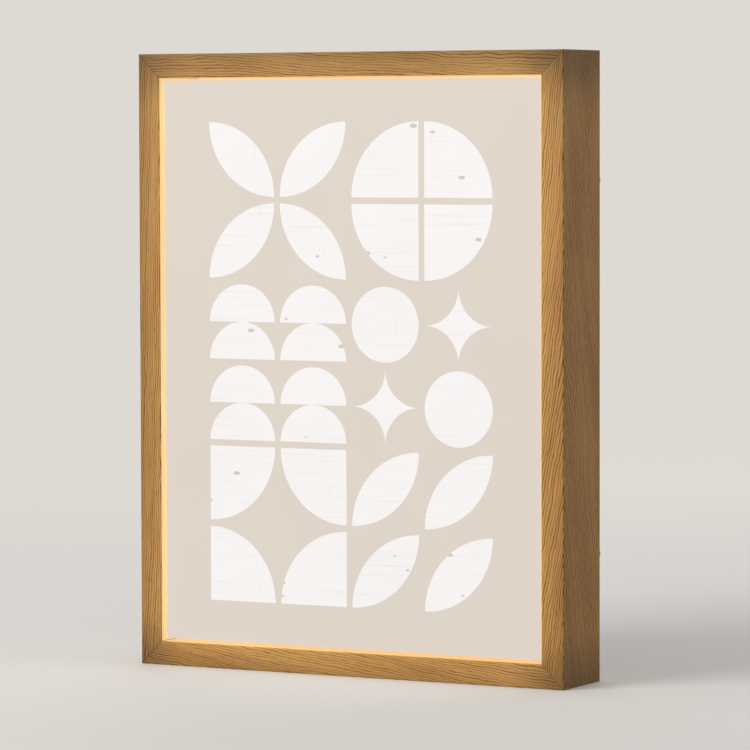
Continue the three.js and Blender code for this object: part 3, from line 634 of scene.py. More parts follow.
def warm_diode(name, colour, strength):
    """Phosphor over a blue chip, cast: yellow itself, it gives a warm white light."""
    glow = {"lit": colour, "strength": strength}
    return mottled(name, 0.2, {0.3: "#E8B54A", 0.7: "#F2CC6A"}, Roughness=0.3, **glow)[0]


def lit_edge(colour):
    """Acrylic, sawn and flamed: its clear edge carries the light of the slit."""
    return mottled("lit_edge", 20, {0.3: "#9C9486", 0.7: "#A69E90"}, Roughness=0.2, lit=colour)[0]


def white_solder_mask(name, lit=(0, 0, 0)):
    """Solder mask on a circuit, printed and cured: white, smooth and a little glossy.

    On the strips it is lit by the diodes beside it, which is given as its own light.
    """
    colours = {0.45: "#EDEBE4", 0.5: "#F6F5F0"}
    return mottled(name, (14, 3, 14), colours, 0.0, Roughness=0.38, lit=lit)[0]


def powder_coat(name, colour, patch, lit=(0, 0, 0)):
    """Powder coat on steel, baked: an even colour with the fine orange peel of melted grains."""
    made, add, shader, place, cloud = mottled(name, 60, {0.3: colour, 0.7: patch}, 3.0, lit=lit)
    peel = add("TexVoronoi", place, Scale=0.9, feature="SMOOTH_F1")
    rough = add("Math.MULTIPLY_ADD", cloud, 0.2, 0.45)
    feed(shader, Roughness=rough, Normal=add("Bump", 0.6, 0.08 * MM, Height=peel))
    return made


def mill_aluminium():
    """Extruded aluminium, as it leaves the die: pale metal with fine lines along its length."""
    colours = {0.3: "#BABCBE", 0.7: "#C6C7C9"}
    made, add, shader, place, _ = mottled("mill_aluminium", (25, 12, 12), colours, Metallic=1.0)
    lines = speckle(add, place, (70, 0.35, 0.35), 3.0)
    rough = add("Math.MULTIPLY_ADD", lines, 0.28, 0.3)
    feed(shader, Roughness=rough, Normal=add("Bump", 0.5, 0.02 * MM, Height=lines))
    return made


def zinc_plate():
    """Zinc-plated steel, tumbled: grey metal with a faint yellow and blue cast in patches."""
    colours = {0.3: "#AEB4BA", 0.5: "#C8C9C6", 0.7: "#CFC8B4"}
    made, add, shader, place, _ = mottled("zinc_plate", 2.5, colours, 3.0, Metallic=1.0)
    feed(shader, Roughness=add("Math.MULTIPLY_ADD", speckle(add, place, 0.8), 0.3, 0.18))
    return made


def pressed_brass():
    """Brass plate, pressed and lacquered: yellow metal with dull finger marks."""
    colours = {0.3: "#B8934A", 0.7: "#D2B06A"}
    made, add, shader, place, marks = mottled("pressed_brass", 6, colours, 4.0, Metallic=1.0)
    bump = add("Bump", 0.4, 0.01 * MM, Height=speckle(add, place, (0.5, 0.5, 8)))
    feed(shader, Roughness=add("Math.MULTIPLY_ADD", marks, 0.35, 0.14), Normal=bump)
    return made


def moulded_plastic(name, colour, sheen, rocker_marks=None):
    """ABS, injection moulded in a spark-eroded tool: even colour and a fine dull grain.

    The rocker's has its marks pad-printed in white over it.
    """
    made, add, shader, place = start_material(name, Roughness=0.42)
    grain = speckle(add, place, 0.35)
    shade = add("ValToRGB", grain, stops={0.3: colour, 0.7: sheen})
    if rocker_marks:
        shade = add("Mix", rocker_marks(add, place), shade, "#E4E4E2")
    else:
        feed(shader, Roughness=add("Math.MULTIPLY_ADD", grain, 0.2, 0.38))
    feed(shader, shade, Normal=add("Bump", 0.5, 0.03 * MM, Height=grain))
    return made


def moulded_rubber(name, colour, dust):
    """Rubber or soft PVC, moulded: near black and matt, with a little dust in the grain."""
    finish = {"Roughness": 0.8, "Specular_IOR_Level": 0.3}
    made, add, shader, _, grain = mottled(name, 0.6, {0.4: colour, 0.8: dust}, 3.0, **finish)
    feed(shader, Normal=add("Bump", 0.4, 0.04 * MM, Height=grain))
    return made


def opal_acrylic():
    """Opal acrylic, cast and frosted: milky white with an even matt face."""
    return mottled("opal_acrylic", 30, {0.3: "#F2EFE9", 0.7: "#F6F4F0"}, Roughness=0.5)[0]


def closed_foam():
    """Closed-cell foam tape, cut: off-white and matt, with small open cells on its edge."""
    made, add, shader, place = start_material("closed_foam", Roughness=0.95)
    cells = add("TexVoronoi", place, Scale=2.4)
    shade = add("ValToRGB", cells, stops={0.0: "#CFCAC1", 0.4: "#E3DFD7"})
    feed(shader, shade, Normal=add("Bump", 0.6, 0.2 * MM, Height=cells))
    return made


# The oak frame.


class LIGHTBOX_OT_oak_frame(Operator):
    """Makes the four mitred and rebated oak bars"""

    bl_idname = "lightbox.oak_frame"
    bl_label = "Oak frame"

    flange = 1.5 * MM  # thickness of the inner frame's flange, which seats in the rebate
    play = 0.25 * MM  # round what seats in the rebate
    slack = 1.04  # a key's slot is this much larger than the key
    hole, barrel = 1.7 * MM, 5.15 * MM  # radii of the screw holes and of the inlet's hole
    pocket = (54 * MM, 15 * MM, 3.8 * MM)  # its length, width and depth
    pocket_corner = 4 * MM
    shell = (15.1 * MM, 9.5 * MM)  # length and width of the opening for the switch

    def execute(self, context):
        oak = context.scene.light_box_oak
        # Each bar comes from its own board: the side that faces out, the grain's angle in
        # degrees, where in the wood the bar starts in mm, its brightness, which is painted light and
        # shade (the top rail darker, the bottom rail and right stile lighter), and how much of the
        # slit's light its inner wall gives back, which is less where the lamps reach that wall.
        boards = {
            "top_rail": (Z, -3.0, (40, 12, 7), 0.92, 0.7),
            "bottom_rail": (-Z, -9.0, (610, 91, 33), 1.2, 0.66),
            "left_stile": (-X, 88.0, (205, 47, 61), 1.06, 1.0),
            "right_stile": (X, 81.0, (930, 23, 17), 1.2, 1.0),
        }
        for node, (out, *board, share) in boards.items():
            bar = self.bar("oak_" + node, out, oak)
            if node == "bottom_rail":
                self.cut_pocket(bar)
            paint(soften(bar, oak.sanded, segments=1), oiled_oak("oiled_oak_" + node, oak, *board))
            light = [part * share for part in context.scene.light_box_light.lit_oak]
            wall = (OAK_MIDDLE + self.reach(out)).dot(out) - BAR_FACE
            in_slit = lambda face: face.normal.dot(out) < -0.99 and near(face.center.dot(out), wall)
            repaint(bar, oiled_oak("lit_oak_" + node, oak, *board, lit=light), in_slit)
            finish_piece(bar, "oak", HOUSING, node)
        return {"FINISHED"}

    def reach(self, way):
        """From the frame's middle to its outside, one way."""
        return way * abs((OAK_HIGH - OAK_LOW).dot(way)) / 2

    def bar(self, name, out, oak):
        """One bar, whose outside faces out: rounded edges, mitred ends, rebate and holes."""
        lengthways = Vector((abs(out.z), 0, abs(out.x)))
        outside = OAK_MIDDLE + self.reach(out)
        inside = outside - out * BAR_FACE
        ends = [outside + self.reach(way) for way in (-lengthways, lengthways)]
        low, high = box_round([*ends, inside])
        low.y, high.y = OAK_LOW.y, OAK_HIGH.y
        bar = add_block(name, low, high)
        round_edges(bar, [along(lengthways), at(out, outside.dot(out))], oak.outer_arris, segments=3)
        panel_side = [along(lengthways), at(out, inside.dot(out)), at(Y, OAK_LOW.y)]
        round_edges(bar, panel_side, oak.inner_arris, segments=2)
        for way, end in zip((-lengthways, lengthways), ends):
            away = (way - out).normalized()
            slice_off(bar, end - away * oak.glue_line / 2, away)

        past = self.reach(lengthways) + lengthways * OVERRUN
        land = SHEET_HIGH.x + self.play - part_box("right_stile")[0].x
        rebate = box_round([inside - out * OVERRUN - past, inside + out * land + past])
        rebate[0].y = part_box("inner_frame")[1].y - self.flange - self.play
        rebate[1].y = OAK_HIGH.y + OVERRUN
        return combine(bar, [add_block("rebate", *rebate), *self.holes(low, high)])

    def holes(self, low, high):
        """The slots of a bar's keys and its screw holes, as cutters."""
        tools = []
        keys = ["mitre_key_" + corner for corner in CORNERS]
        for node in keys + nodes_named("hook_screw", "button_screw"):
            place = centre_of(node)
            if not all(low[i] <= place[i] <= high[i] for i in (0, 2)):
                continue
            if node in keys:
                slot = put(merged_copy(node, "slot"), -place)
                tools.append(put(slot, place, scale=self.slack))
            else:
                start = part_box(node)[0].y - self.flange
                tools.append(add_pin("hole", self.hole, place, start, high.y + OVERRUN, facets=16))
        return tools

    def cut_pocket(self, bar):
        """The pocket under the bottom rail, with the openings for the switch and the inlet."""
        switch, inlet = centre_of("switch_body"), centre_of("power_inlet")
        centre = (switch + inlet) / 2
        floor = OAK_LOW.z + self.pocket[2]
        start, top = floor - OVERRUN / 2, OAK_LOW.z + BAR_FACE + OVERRUN
        tools = []
        for x, size, low, high in (
            (centre.x, self.pocket, OAK_LOW.z - OVERRUN, floor),
            (switch.x, self.shell, start, top),
        ):
            half = Vector((size[0] / 2, size[1] / 2, 0))
            place = Vector((x, centre.y, 0))
            tools.append(add_block("opening", place - half + Z * low, place + half + Z * high))
        round_edges(tools[0], [along(Z)], self.pocket_corner, segments=8)
        tools.append(add_rod("bore", self.barrel, (inlet.x, centre.y, start), (inlet.x, centre.y, top)))
        combine(bar, tools)


class LIGHTBOX_OT_mitre_keys(Operator):
    """Gives the hardwood keys in the mitres their wood"""

    bl_idname = "lightbox.mitre_keys"
    bl_label = "Mitre keys"

    def execute(self, context):
        dress(pressed_beech(), *nodes_named("mitre_key"))
        return {"FINISHED"}


# The printed panel.


class LIGHTBOX_OT_printed_panel(Operator):
    """Makes the floating panel and the diffuser and tape behind it"""

    bl_idname = "lightbox.printed_panel"
    bl_label = "Printed panel"

    def execute(self, context):
        settings = context.scene.light_box_print
        panel = add_block("printed_panel", PANEL_LOW, PANEL_HIGH)
        round_edges(panel, [along(Y)], settings.corner, segments=5)
        round_edges(panel, [at(Y, PANEL_LOW.y)], settings.chamfer, segments=1)
        paint(panel, lit_print("printed_ground", settings, settings.ground, wear=False))
        rim = lambda face: abs(face.normal.y) < 0.5 or abs(face.normal.x) > 0.5
        repaint(panel, lit_edge(context.scene.light_box_light.lit_edge), rim)
        finish_piece(panel, "printed_acrylic", HOUSING, "front_panel")
        dress(opal_acrylic(), "diffuser_sheet")
        dress(closed_foam(), "panel_tape")
        return {"FINISHED"}


class LIGHTBOX_OT_white_motifs(Operator):
    """Makes the white motifs printed on the panel, one to a tile"""

    bl_idname = "lightbox.white_motifs"
    bl_label = "White motifs"

    # A motif and its turn in quarters for each tile, from the top left.
    tiles = (
        (("petal", 0), ("petal", 1), ("quarter", 3), ("quarter", 0)),
        (("petal", 1), ("petal", 0), ("quarter", 2), ("quarter", 1)),
        (("domes", 0), ("domes", 0), ("disc", 0), ("star", 0)),
        (("domes", 0), ("domes", 0), ("star", 0), ("disc", 0)),
        (("quarter", 1), ("quarter", 2), ("petal", 1), ("petal", 1)),
        (("quarter", 0), ("quarter", 3), ("petal", 1), ("petal", 1)),
    )
    facets = 96

    def execute(self, context):
        settings = context.scene.light_box_print
        step = settings.tile + settings.gutter
        centre = centre_of("front_panel")
        motifs = []
        for row, kinds in enumerate(self.tiles):
            for column, (kind, quarters) in enumerate(kinds):
                motif = getattr(self, kind)(settings.tile, settings.ink)
                x = centre.x + (column - (len(kinds) - 1) / 2) * step
                z = centre.z - (row - (len(self.tiles) - 1) / 2) * step
                put(motif, turn=(0, quarters * math.pi / 2, 0))
                motifs.append(put(motif, (x, PANEL_LOW.y - settings.ink / 2, z)))
        motifs[0].name = "white_motifs"
        white = lit_print("white_ink", settings, settings.white, wear=True)
        finish_piece(paint(weld(*motifs), white), "printed_acrylic", HOUSING)
        return {"FINISHED"}

    def plate(self, radius, x, z, ink):
        """A round plate of ink in the middle of a tile's depth."""
        return add_pin("motif", radius, (x, 0, z), -ink / 2, ink / 2, self.facets)

    def disc(self, tile, ink):
        return self.plate(tile / 2, 0, 0, ink)

    def quarter(self, tile, ink):
        """A quarter of a large disc."""
        plate = self.plate(tile, -tile / 2, -tile / 2, ink)
        slice_off(plate, (-tile / 2, 0, 0), -X)
        return slice_off(plate, (0, 0, -tile / 2), -Z)

    def domes(self, tile, ink):
        """Two half discs, one above the other."""
        low, high = (slice_off(self.plate(tile / 2, 0, z, ink), (0, 0, z), -Z) for z in (-tile / 2, ink))
        return weld(high, low)

    def petal(self, tile, ink):
        """What two quarter discs at opposite corners share."""
        first = self.plate(tile, -tile / 2, -tile / 2, ink)
        return combine(first, [self.plate(tile, tile / 2, tile / 2, 2 * ink)], "INTERSECT")

    def star(self, tile, ink):
        """A square with a quarter disc cut out of each corner."""
        half = Vector((tile, ink, tile)) / 2
        square = add_block("motif", -half, half)
        corners = ((x * tile / 2, z * tile / 2) for x, z in CORNERS.values())
        return combine(square, [self.plate(tile / 2, x, z, 2 * ink) for x, z in corners])


# Inside the box.


class LIGHTBOX_OT_inner_frame(Operator):
    """Gives the folded inner frame and the reflector board their white coat"""

    bl_idname = "lightbox.inner_frame"
    bl_label = "Inner frame"

    def execute(self, context):
        light = context.scene.light_box_light
        lit = [part * light.coat_glow for part in light.lit_coat]
        white = ("#EFEEEA", "#F5F4F1")
        dress(powder_coat("lit_powder_coat", *white, lit), "inner_frame")
        dress(powder_coat("white_powder_coat", *white), "reflector_board")
        dress(white_solder_mask("white_solder_mask"), *nodes_named("led_bar"))
        return {"FINISHED"}


class LIGHTBOX_OT_light_strips(Operator):
    """Makes the warm strips round the panel and behind the box"""

    bl_idname = "lightbox.light_strips"
    bl_label = "Light strips"

    diode_corner = 0.2 * MM
    well = (0.4 * MM, 0.15 * MM)  # width of the rim round a diode's well, and the well's depth

    def execute(self, context):
        light = context.scene.light_box_light
        mask = white_solder_mask("lit_solder_mask", [part * light.coat_glow for part in light.warm])
        body = moulded_plastic("diode_body", "#EDEAE2", "#F4F2EC")
        turns = {"top": 0, "right": math.pi / 2, "bottom": math.pi, "left": -math.pi / 2}
        for ring, strength in (("gap_strip_", light.slit), ("halo_strip_", light.halo)):
            phosphor = warm_diode("phosphor_" + ring[:-1], light.warm, strength)
            for side, turn in turns.items():
                low, high = span(ring + side)
                length = max(high.x - low.x, high.z - low.z)
                strip = self.strip("lit_" + ring + side, length, light, mask, body, phosphor)
                out = Vector((math.sin(turn), 0, math.cos(turn)))
                root = (low + high) / 2 - out * abs((high - low).dot(out)) / 2
                finish_piece(put(strip, root, (0, turn, 0)), "warm_light", HOUSING, ring + side)
        return {"FINISHED"}

    def strip(self, name, length, light, mask, body, phosphor):
        """A tape along X with a row of diodes that shine towards +Z."""
        low, high = span("gap_strip_top")
        width, rise = high.y - low.y, high.z - low.z
        tape = add_block(name, (-length / 2, -width / 2, 0), (length / 2, width / 2, light.tape))
        half = light.diode / 2
        diode = add_block("diode", (-half, -half, light.tape), (half, half, rise))
        round_edges(diode, [along(Z)], self.diode_corner, segments=1)
        inset(diode, [at(Z, rise)], self.well[0], -self.well[1])
        in_well = lambda face: face.center.xy.length < NEAR and face.normal.z > 0.9
        repaint(paint(diode, body), phosphor, in_well)
        count = int((length - light.diode) / light.pitch) + 1
        put(diode, (-(count - 1) / 2 * light.pitch, 0, 0))
        return weld(paint(tape, mask), repeat(diode, count, (light.pitch, 0, 0)))


class LIGHTBOX_OT_electrics(Operator):
    """Gives the driver, the terminal block and the leads their plastics"""

    bl_idname = "lightbox.electrics"
    bl_label = "Driver and leads"

    def execute(self, context):
        dress(moulded_plastic("white_abs", "#E6E5E0", "#EFEEEA"), "led_driver", "terminal_block")
        dress(moulded_rubber("pvc_sleeve", "#232325", "#3A3A3C"), *nodes_named("_lead"))
        return {"FINISHED"}


# The back.


class LIGHTBOX_OT_back_panel(Operator):
    """Makes the pressed steel back panel with its raised middle and vents"""

    bl_idname = "lightbox.back_panel"
    bl_label = "Back panel"

    vent = (3 * MM, 26 * MM)  # width and length of a slot
    vent_pitch = 18 * MM
    vents_per_row = 9
    vent_inset = 24 * MM  # from the edge of the raised middle to the middle of a row
    strip_gap = 0.2 * MM  # the strips lie this far off the raised middle's walls
    button_gap = 0.5 * MM  # from the sheet to the turn buttons
    sheet_corner, port = 2 * MM, 2 * MM  # radii of the sheet's corners and of the lead's hole

    def execute(self, context):
        hardware = context.scene.light_box_hardware
        low, high = self.raised()
        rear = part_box("turn_button_top_left")[0].y - self.button_gap
        centre = (SHEET_LOW + SHEET_HIGH) / 2
        pick()
        flat = {"location": (centre.x, rear, centre.z), "rotation": (-math.pi / 2, 0, 0)}
        bpy.ops.mesh.primitive_plane_add(size=1, **flat)
        sheet = bpy.context.object
        sheet.scale = (SHEET_HIGH - SHEET_LOW).xzy
        settle(sheet, "steel_back_panel")
        for axis in (X, Z):
            for edge in (low, high):
                shape(sheet, "VERT", (), bpy.ops.mesh.bisect, plane_co=edge, plane_no=axis)
        in_middle = [at(axis, ((low + high) / 2).dot(axis)) for axis in (X, Z)]
        push(sheet, in_middle, (0, SHEET_HIGH.y - rear, 0))
        round_edges(sheet, [along(Y)], hardware.raised_corner, segments=8)
        folded = lambda edge: len(edge.link_faces) == 2 and edge.calc_face_angle() > math.pi / 3
        round_edges(sheet, [folded], hardware.fold, segments=4)
        corners = [
            lambda vertex: near(abs(vertex.co.x), SHEET_HIGH.x),
            lambda vertex: near(vertex.co.z, SHEET_LOW.z) or near(vertex.co.z, SHEET_HIGH.z),
        ]
        trim = {"offset": self.sheet_corner, "segments": 4, "affect": "VERTICES"}
        shape(sheet, "VERT", corners, bpy.ops.mesh.bevel, **trim)
        shape(sheet, "VERT", (), bpy.ops.mesh.dissolve_limited, angle_limit=FLAT)
        modify(sheet, "SOLIDIFY", thickness=hardware.steel, offset=-1.0)
        combine(sheet, [*self.vents(low, high), self.lead_port(high)])
        coat = powder_coat("grey_powder_coat", "#37383A", "#404144")
        finish_piece(paint(sheet, coat), "grey_coat", HOUSING, "back_panel")
        return {"FINISHED"}

    def raised(self):
        """The raised middle's corners, inside the strips that line it."""
        low, high = Vector(SHEET_LOW), Vector(SHEET_HIGH)
        low.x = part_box("halo_strip_left")[1].x + self.strip_gap
        high.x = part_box("halo_strip_right")[0].x - self.strip_gap
        low.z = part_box("halo_strip_bottom")[1].z + self.strip_gap
        high.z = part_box("halo_strip_top")[0].z - self.strip_gap
        return low, high

    def vents(self, low, high):
        """Two rows of slots with round ends, as cutters."""
        width, length = self.vent
        rows = []
        for z in (high.z - self.vent_inset, low.z + self.vent_inset):
            start = (-(self.vents_per_row - 1) / 2 * self.vent_pitch, 0, z)
            slot = add_pin("vent", width / 2, start, high.y - OVERRUN, high.y + OVERRUN, facets=24)
            for side in (-1, 1):
                half = lambda vertex: (vertex.co.z - z) * side > NEAR
                slide(slot, [half], (0, 0, side * (length - width) / 2))
            rows.append(repeat(slot, self.vents_per_row, (self.vent_pitch, 0, 0)))
        return rows

    def lead_port(self, high):
        """The hole in the raised wall that the lead to the strips goes through."""
        place = Vector((high.x, centre_of("halo_strip_right").y, centre_of("halo_lead").z))
        return add_rod("port", self.port, place - X * OVERRUN, place + X * OVERRUN, facets=16)


class LIGHTBOX_OT_turn_buttons(Operator):
    """Makes the four brass turn buttons that hold the back panel"""

    bl_idname = "lightbox.turn_buttons"
    bl_label = "Turn buttons"

    thickness = 1.5 * MM
    grip, hole = 1.1 * MM, 1.6 * MM  # radii of the ridge that a finger pushes and of the screw's hole

    def execute(self, context):
        hardware = context.scene.light_box_hardware
        brass = pressed_brass()
        for corner, (side, _) in CORNERS.items():
            low, high = span("turn_button_" + corner)
            joint = next(j for j in frame["joints"] if j["child"] == "button_" + corner)
            pivot = Vector(joint["pos_m"])
            radius = (high.z - low.z) / 2
            reach = (high.x - low.x) - 2 * radius
            rear = low.y + self.thickness
            plate = add_pin("brass_turn_button_" + corner, radius, pivot, low.y, rear, facets=48)
            far = lambda vertex: (pivot.x - vertex.co.x) * side > NEAR
            slide(plate, [far], (-side * reach, 0, 0))
            grip = Vector((pivot.x - side * (reach + radius - 2 * self.grip), rear, pivot.z))
            half = Z * radius / 2
            combine(plate, [add_rod("ridge", self.grip, grip - half, grip + half, facets=24)], "UNION")
            bore = add_pin("bore", self.hole, pivot, low.y - MM, rear + MM)
            # What the ridge has below the plate goes too.
            margin = Vector((MM, OVERRUN, MM))
            under = add_block("under", low - margin, (high.x + MM, low.y, high.z + MM))
            soften(combine(plate, [bore, under]), hardware.edge / 2)
            finish_piece(paint(plate, brass), "brass", "button_" + corner, "turn_button_" + corner)
        return {"FINISHED"}


class LIGHTBOX_OT_screws(Operator):
    """Makes the pan-head screws with their cross recesses"""

    bl_idname = "lightbox.screws"
    bl_label = "Screws"

    head, rise, crown = 3.4 * MM, 2 * MM, 1.3 * MM  # a head's radius, height and rounding
    recess = (1.9 * MM, 0.45 * MM, 1.2 * MM)  # half length, half width and depth of its arms
    recess_share = 0.55  # of the arms' size at the top, at the bottom
    tip = 2.4 * MM  # length of its tapered end
    point_share = 0.1  # of the shank's radius, at the very end

    def execute(self, context):
        shank = context.scene.light_box_hardware.shank
        zinc = zinc_plate()
        for node in sorted(nodes_named("_screw")):
            low, high = span(node)
            screw = self.screw("zinc_" + node, high.y - low.y - self.rise, shank)
            centre = centre_of(node)
            put(screw, (centre.x, high.y - self.rise, centre.z))
            finish_piece(paint(screw, zinc), "zinc_steel", HOUSING, node)
        return {"FINISHED"}

    def screw(self, name, length, shank):
        """A screw whose head stands on Y = 0, towards +Y."""
        head = add_pin(name, self.head, (0, 0, 0), 0, self.rise, facets=40)
        round_edges(head, [at(Y, self.rise)], self.crown, segments=5)
        long, wide, depth = self.recess
        floor = self.rise - depth
        for x, z in ((long, wide), (wide, long)):
            arm = add_block("arm", (-x, floor, -z), (x, self.rise + MM, z))
            combine(head, [narrow(arm, [at(Y, floor)], self.recess_share)])
        under = lambda face: face.normal.y < -0.9 and face.calc_area() > shank**2
        inset(head, [under], self.head - shank)
        neck = [under, at(X, 0), lambda face: len(face.verts) > 8]
        push(head, neck, (0, self.tip - length, 0))
        push(head, neck, (0, -self.tip, 0))
        return narrow(head, [at(Y, -length)], self.point_share)


class LIGHTBOX_OT_rails(Operator):
    """Makes the wall rail and the hook rail that hangs on it"""

    bl_idname = "lightbox.rails"
    bl_label = "Hanging rails"

    wall_holes = (-65 * MM, -30 * MM, 30 * MM, 65 * MM)
    hole, sink = 2.3 * MM, 4.4 * MM  # radii of a hole for a wall screw and of its countersink
    play = 0.2 * MM  # round the hook rail's screws

    def execute(self, context):
        hardware = context.scene.light_box_hardware
        metal = mill_aluminium()
        for node, way, holes in (("wall_rail", 1, self.sinks), ("hook_rail", -1, self.screw_holes)):
            low, high = span(node)
            rail = self.rail("extruded_" + node, low, high, hardware, way)
            soften(combine(rail, holes(low, high, hardware)), hardware.edge)
            finish_piece(paint(rail, metal), "aluminium", HOUSING, node)
        return {"FINISHED"}

    def sinks(self, low, high, hardware):
        """Countersunk holes: a cone from a millimetre off the flange, and the hole after it."""
        front = high.y - hardware.rail - MM
        wide = self.sink + MM
        neck = front + wide - self.hole
        tools = []
        for x in self.wall_holes:
            place = (x, 0, low.z + hardware.flange / 2)
            tool = add_pin("sink", wide, place, front, neck, far_radius=self.hole)
            tools.append(push(tool, [at(Y, neck)], (0, high.y + MM - neck, 0)))
        return tools

    def screw_holes(self, low, high, hardware):
        radius = hardware.shank + self.play
        places = map(centre_of, nodes_named("hook_screw"))
        return [add_pin("hole", radius, place, low.y - MM, high.y + MM) for place in places]

    def rail(self, name, low, high, hardware, way):
        """A flange, a web and a lip. The wall rail's flange is at the wall, its lip up and out."""
        start, end = (low.copy(), high.copy()) if way > 0 else (high.copy(), low.copy())
        start.y, end.y = end.y, start.y
        thick = hardware.rail
        fold = start.z + way * hardware.flange
        flange = box_round([start, (end.x, start.y - way * thick, fold)])
        rail = add_block(name, *flange)
        cut = {"plane_co": (0, 0, fold - way * thick), "plane_no": Z}
        shape(rail, "VERT", (), bpy.ops.mesh.bisect, **cut)
        forward = -Y * way
        strip = [
            lambda face: face.normal.dot(forward) > 0.9,
            lambda face: abs(middle(face).z - fold) < thick,
        ]
        for step in (high.y - low.y - 2 * thick, thick):
            push(rail, strip, forward * step)
        lip = [lambda face: face.normal.z * way > 0.9, at(Y, end.y + way * thick / 2)]
        return push(rail, lip, (0, 0, end.z - fold))


class LIGHTBOX_OT_bumpers(Operator):
    """Makes the rubber bumpers that keep the lower edge off the wall"""

    bl_idname = "lightbox.bumpers"
    bl_label = "Bumpers"

    nose, edge = 3.6 * MM, 0.3 * MM  # radii of its end and of its edges
    foot = 2.5 * MM  # height of its straight part
    dimple = 1.2 * MM  # depth of the hollow in its end, and the width of the rim round that

    def execute(self, context):
        rubber = moulded_rubber("epdm_rubber", "#1E1E1E", "#343434")
        for node in nodes_named("bumper"):
            low, high = span(node)
            centre = centre_of(node)
            radius = (high.x - low.x) / 2
            top = low.y + self.foot
            bumper = add_pin("rubber_" + node, radius, centre, low.y, top, facets=48)
            push(bumper, [at(Y, top)], (0, high.y - top, 0))
            narrow(bumper, [at(Y, high.y)], self.nose / radius, centre)
            end = at(Y, high.y)
            inset(bumper, [end], self.dimple)
            inset(bumper, [end, lambda face: face.calc_area() > radius**2], self.dimple / 3, -self.dimple)
            finish_piece(paint(soften(bumper, self.edge, segments=3), rubber), "rubber", HOUSING, node)
        return {"FINISHED"}


# The pocket under the bottom rail.


class LIGHTBOX_OT_switch(Operator):
    """Makes the rocker switch"""

    bl_idname = "lightbox.switch"
    bl_label = "Rocker switch"

    offset = 3.6 * MM  # from the pivot to a mark
    line = 0.5 * MM  # width of both marks' lines
    bar = 2.4 * MM  # length of the bar that means on
    ring = 1.1 * MM  # radius of the ring that means off
    rocker_edge_share = 0.8  # of the switch body's edges

    def execute(self, context):
        edge = context.scene.light_box_hardware.edge
        black = ("#161617", "#222223")
        body = soften(merged_copy("switch_body", "abs_switch_body"), edge, segments=3)
        paint(body, moulded_plastic("black_abs", *black))
        finish_piece(body, "black_plastic", HOUSING, "switch_body")
        rocker = merged_copy("rocker", "abs_rocker")
        soften(rocker, edge * self.rocker_edge_share, segments=3)
        paint(rocker, moulded_plastic("marked_abs", *black, self.marks))
        finish_piece(rocker, "black_plastic", "switch_rocker", "rocker")
        return {"FINISHED"}

    def marks(self, add, place):
        """The bar at one end of the rocker and the ring at the other, 1 where there is ink."""
        pivot = centre_of("rocker")
        half_line = self.line / 2 / MM
        ends = []
        for side in (-1, 1):
            centre = Vector((pivot.x + side * self.offset, pivot.y, 0))
            local = add("Mapping", place, Location=-centre / MM)
            ends.append(add("SeparateXYZ", local).outputs)
        x, y = (add("Math.ABSOLUTE", part) for part in ends[0][:2])
        wide = add("Math.LESS_THAN", x, half_line)
        long = add("Math.LESS_THAN", y, self.bar / 2 / MM)
        bar = add("Math.MULTIPLY", wide, long)
        x, y = ends[1][:2]
        square = add("Math.MULTIPLY", y, y)
        square = add("Math.MULTIPLY_ADD", x, x, square)
        off = add("Math.SUBTRACT", add("Math.SQRT", square), self.ring / MM)
        off = add("Math.ABSOLUTE", off)
        ring = add("Math.LESS_THAN", off, half_line)
        return add("Math.MAXIMUM", bar, ring)


class LIGHTBOX_OT_inlet(Operator):
    """Makes the low-voltage inlet beside the switch"""

    bl_idname = "lightbox.inlet"
    bl_label = "Power inlet"

    flange, bore_depth = 2 * MM, 9 * MM
    barrel, bore, pin = 4.9 * MM, 2.9 * MM, 1.05 * MM  # their radii
    pin_inset = 0.8 * MM  # from the face to the pin's tip

    def execute(self, context):
        hardware = context.scene.light_box_hardware
        low, high = span("power_inlet")
        centre = centre_of("power_inlet")
        rise = lambda height: (centre.x, centre.y, low.z + height)
        inlet = add_rod("abs_power_inlet", (high.x - low.x) / 2, rise(0), rise(self.flange), facets=64)
        barrel = add_rod("barrel", self.barrel, rise(self.flange / 2), (*centre.xy, high.z), facets=48)
        combine(inlet, [barrel], "UNION")
        combine(inlet, [add_rod("bore", self.bore, rise(-MM), rise(self.bore_depth), facets=48)])
        paint(soften(inlet, hardware.edge, segments=3), moulded_plastic("black_nylon", "#18181A", "#262628"))
        root, shoulder = rise(self.bore_depth + MM), rise(self.pin_inset + self.pin)
        pin = add_rod("pin", self.pin, root, shoulder)
        tip = add_rod("tip", self.pin, shoulder, rise(self.pin_inset), far_radius=self.pin / 4)
        metal = zinc_plate()
        weld(inlet, paint(pin, metal), paint(tip, metal))
        finish_piece(inlet, "black_plastic", HOUSING, "power_inlet")
        return {"FINISHED"}


# The stage.


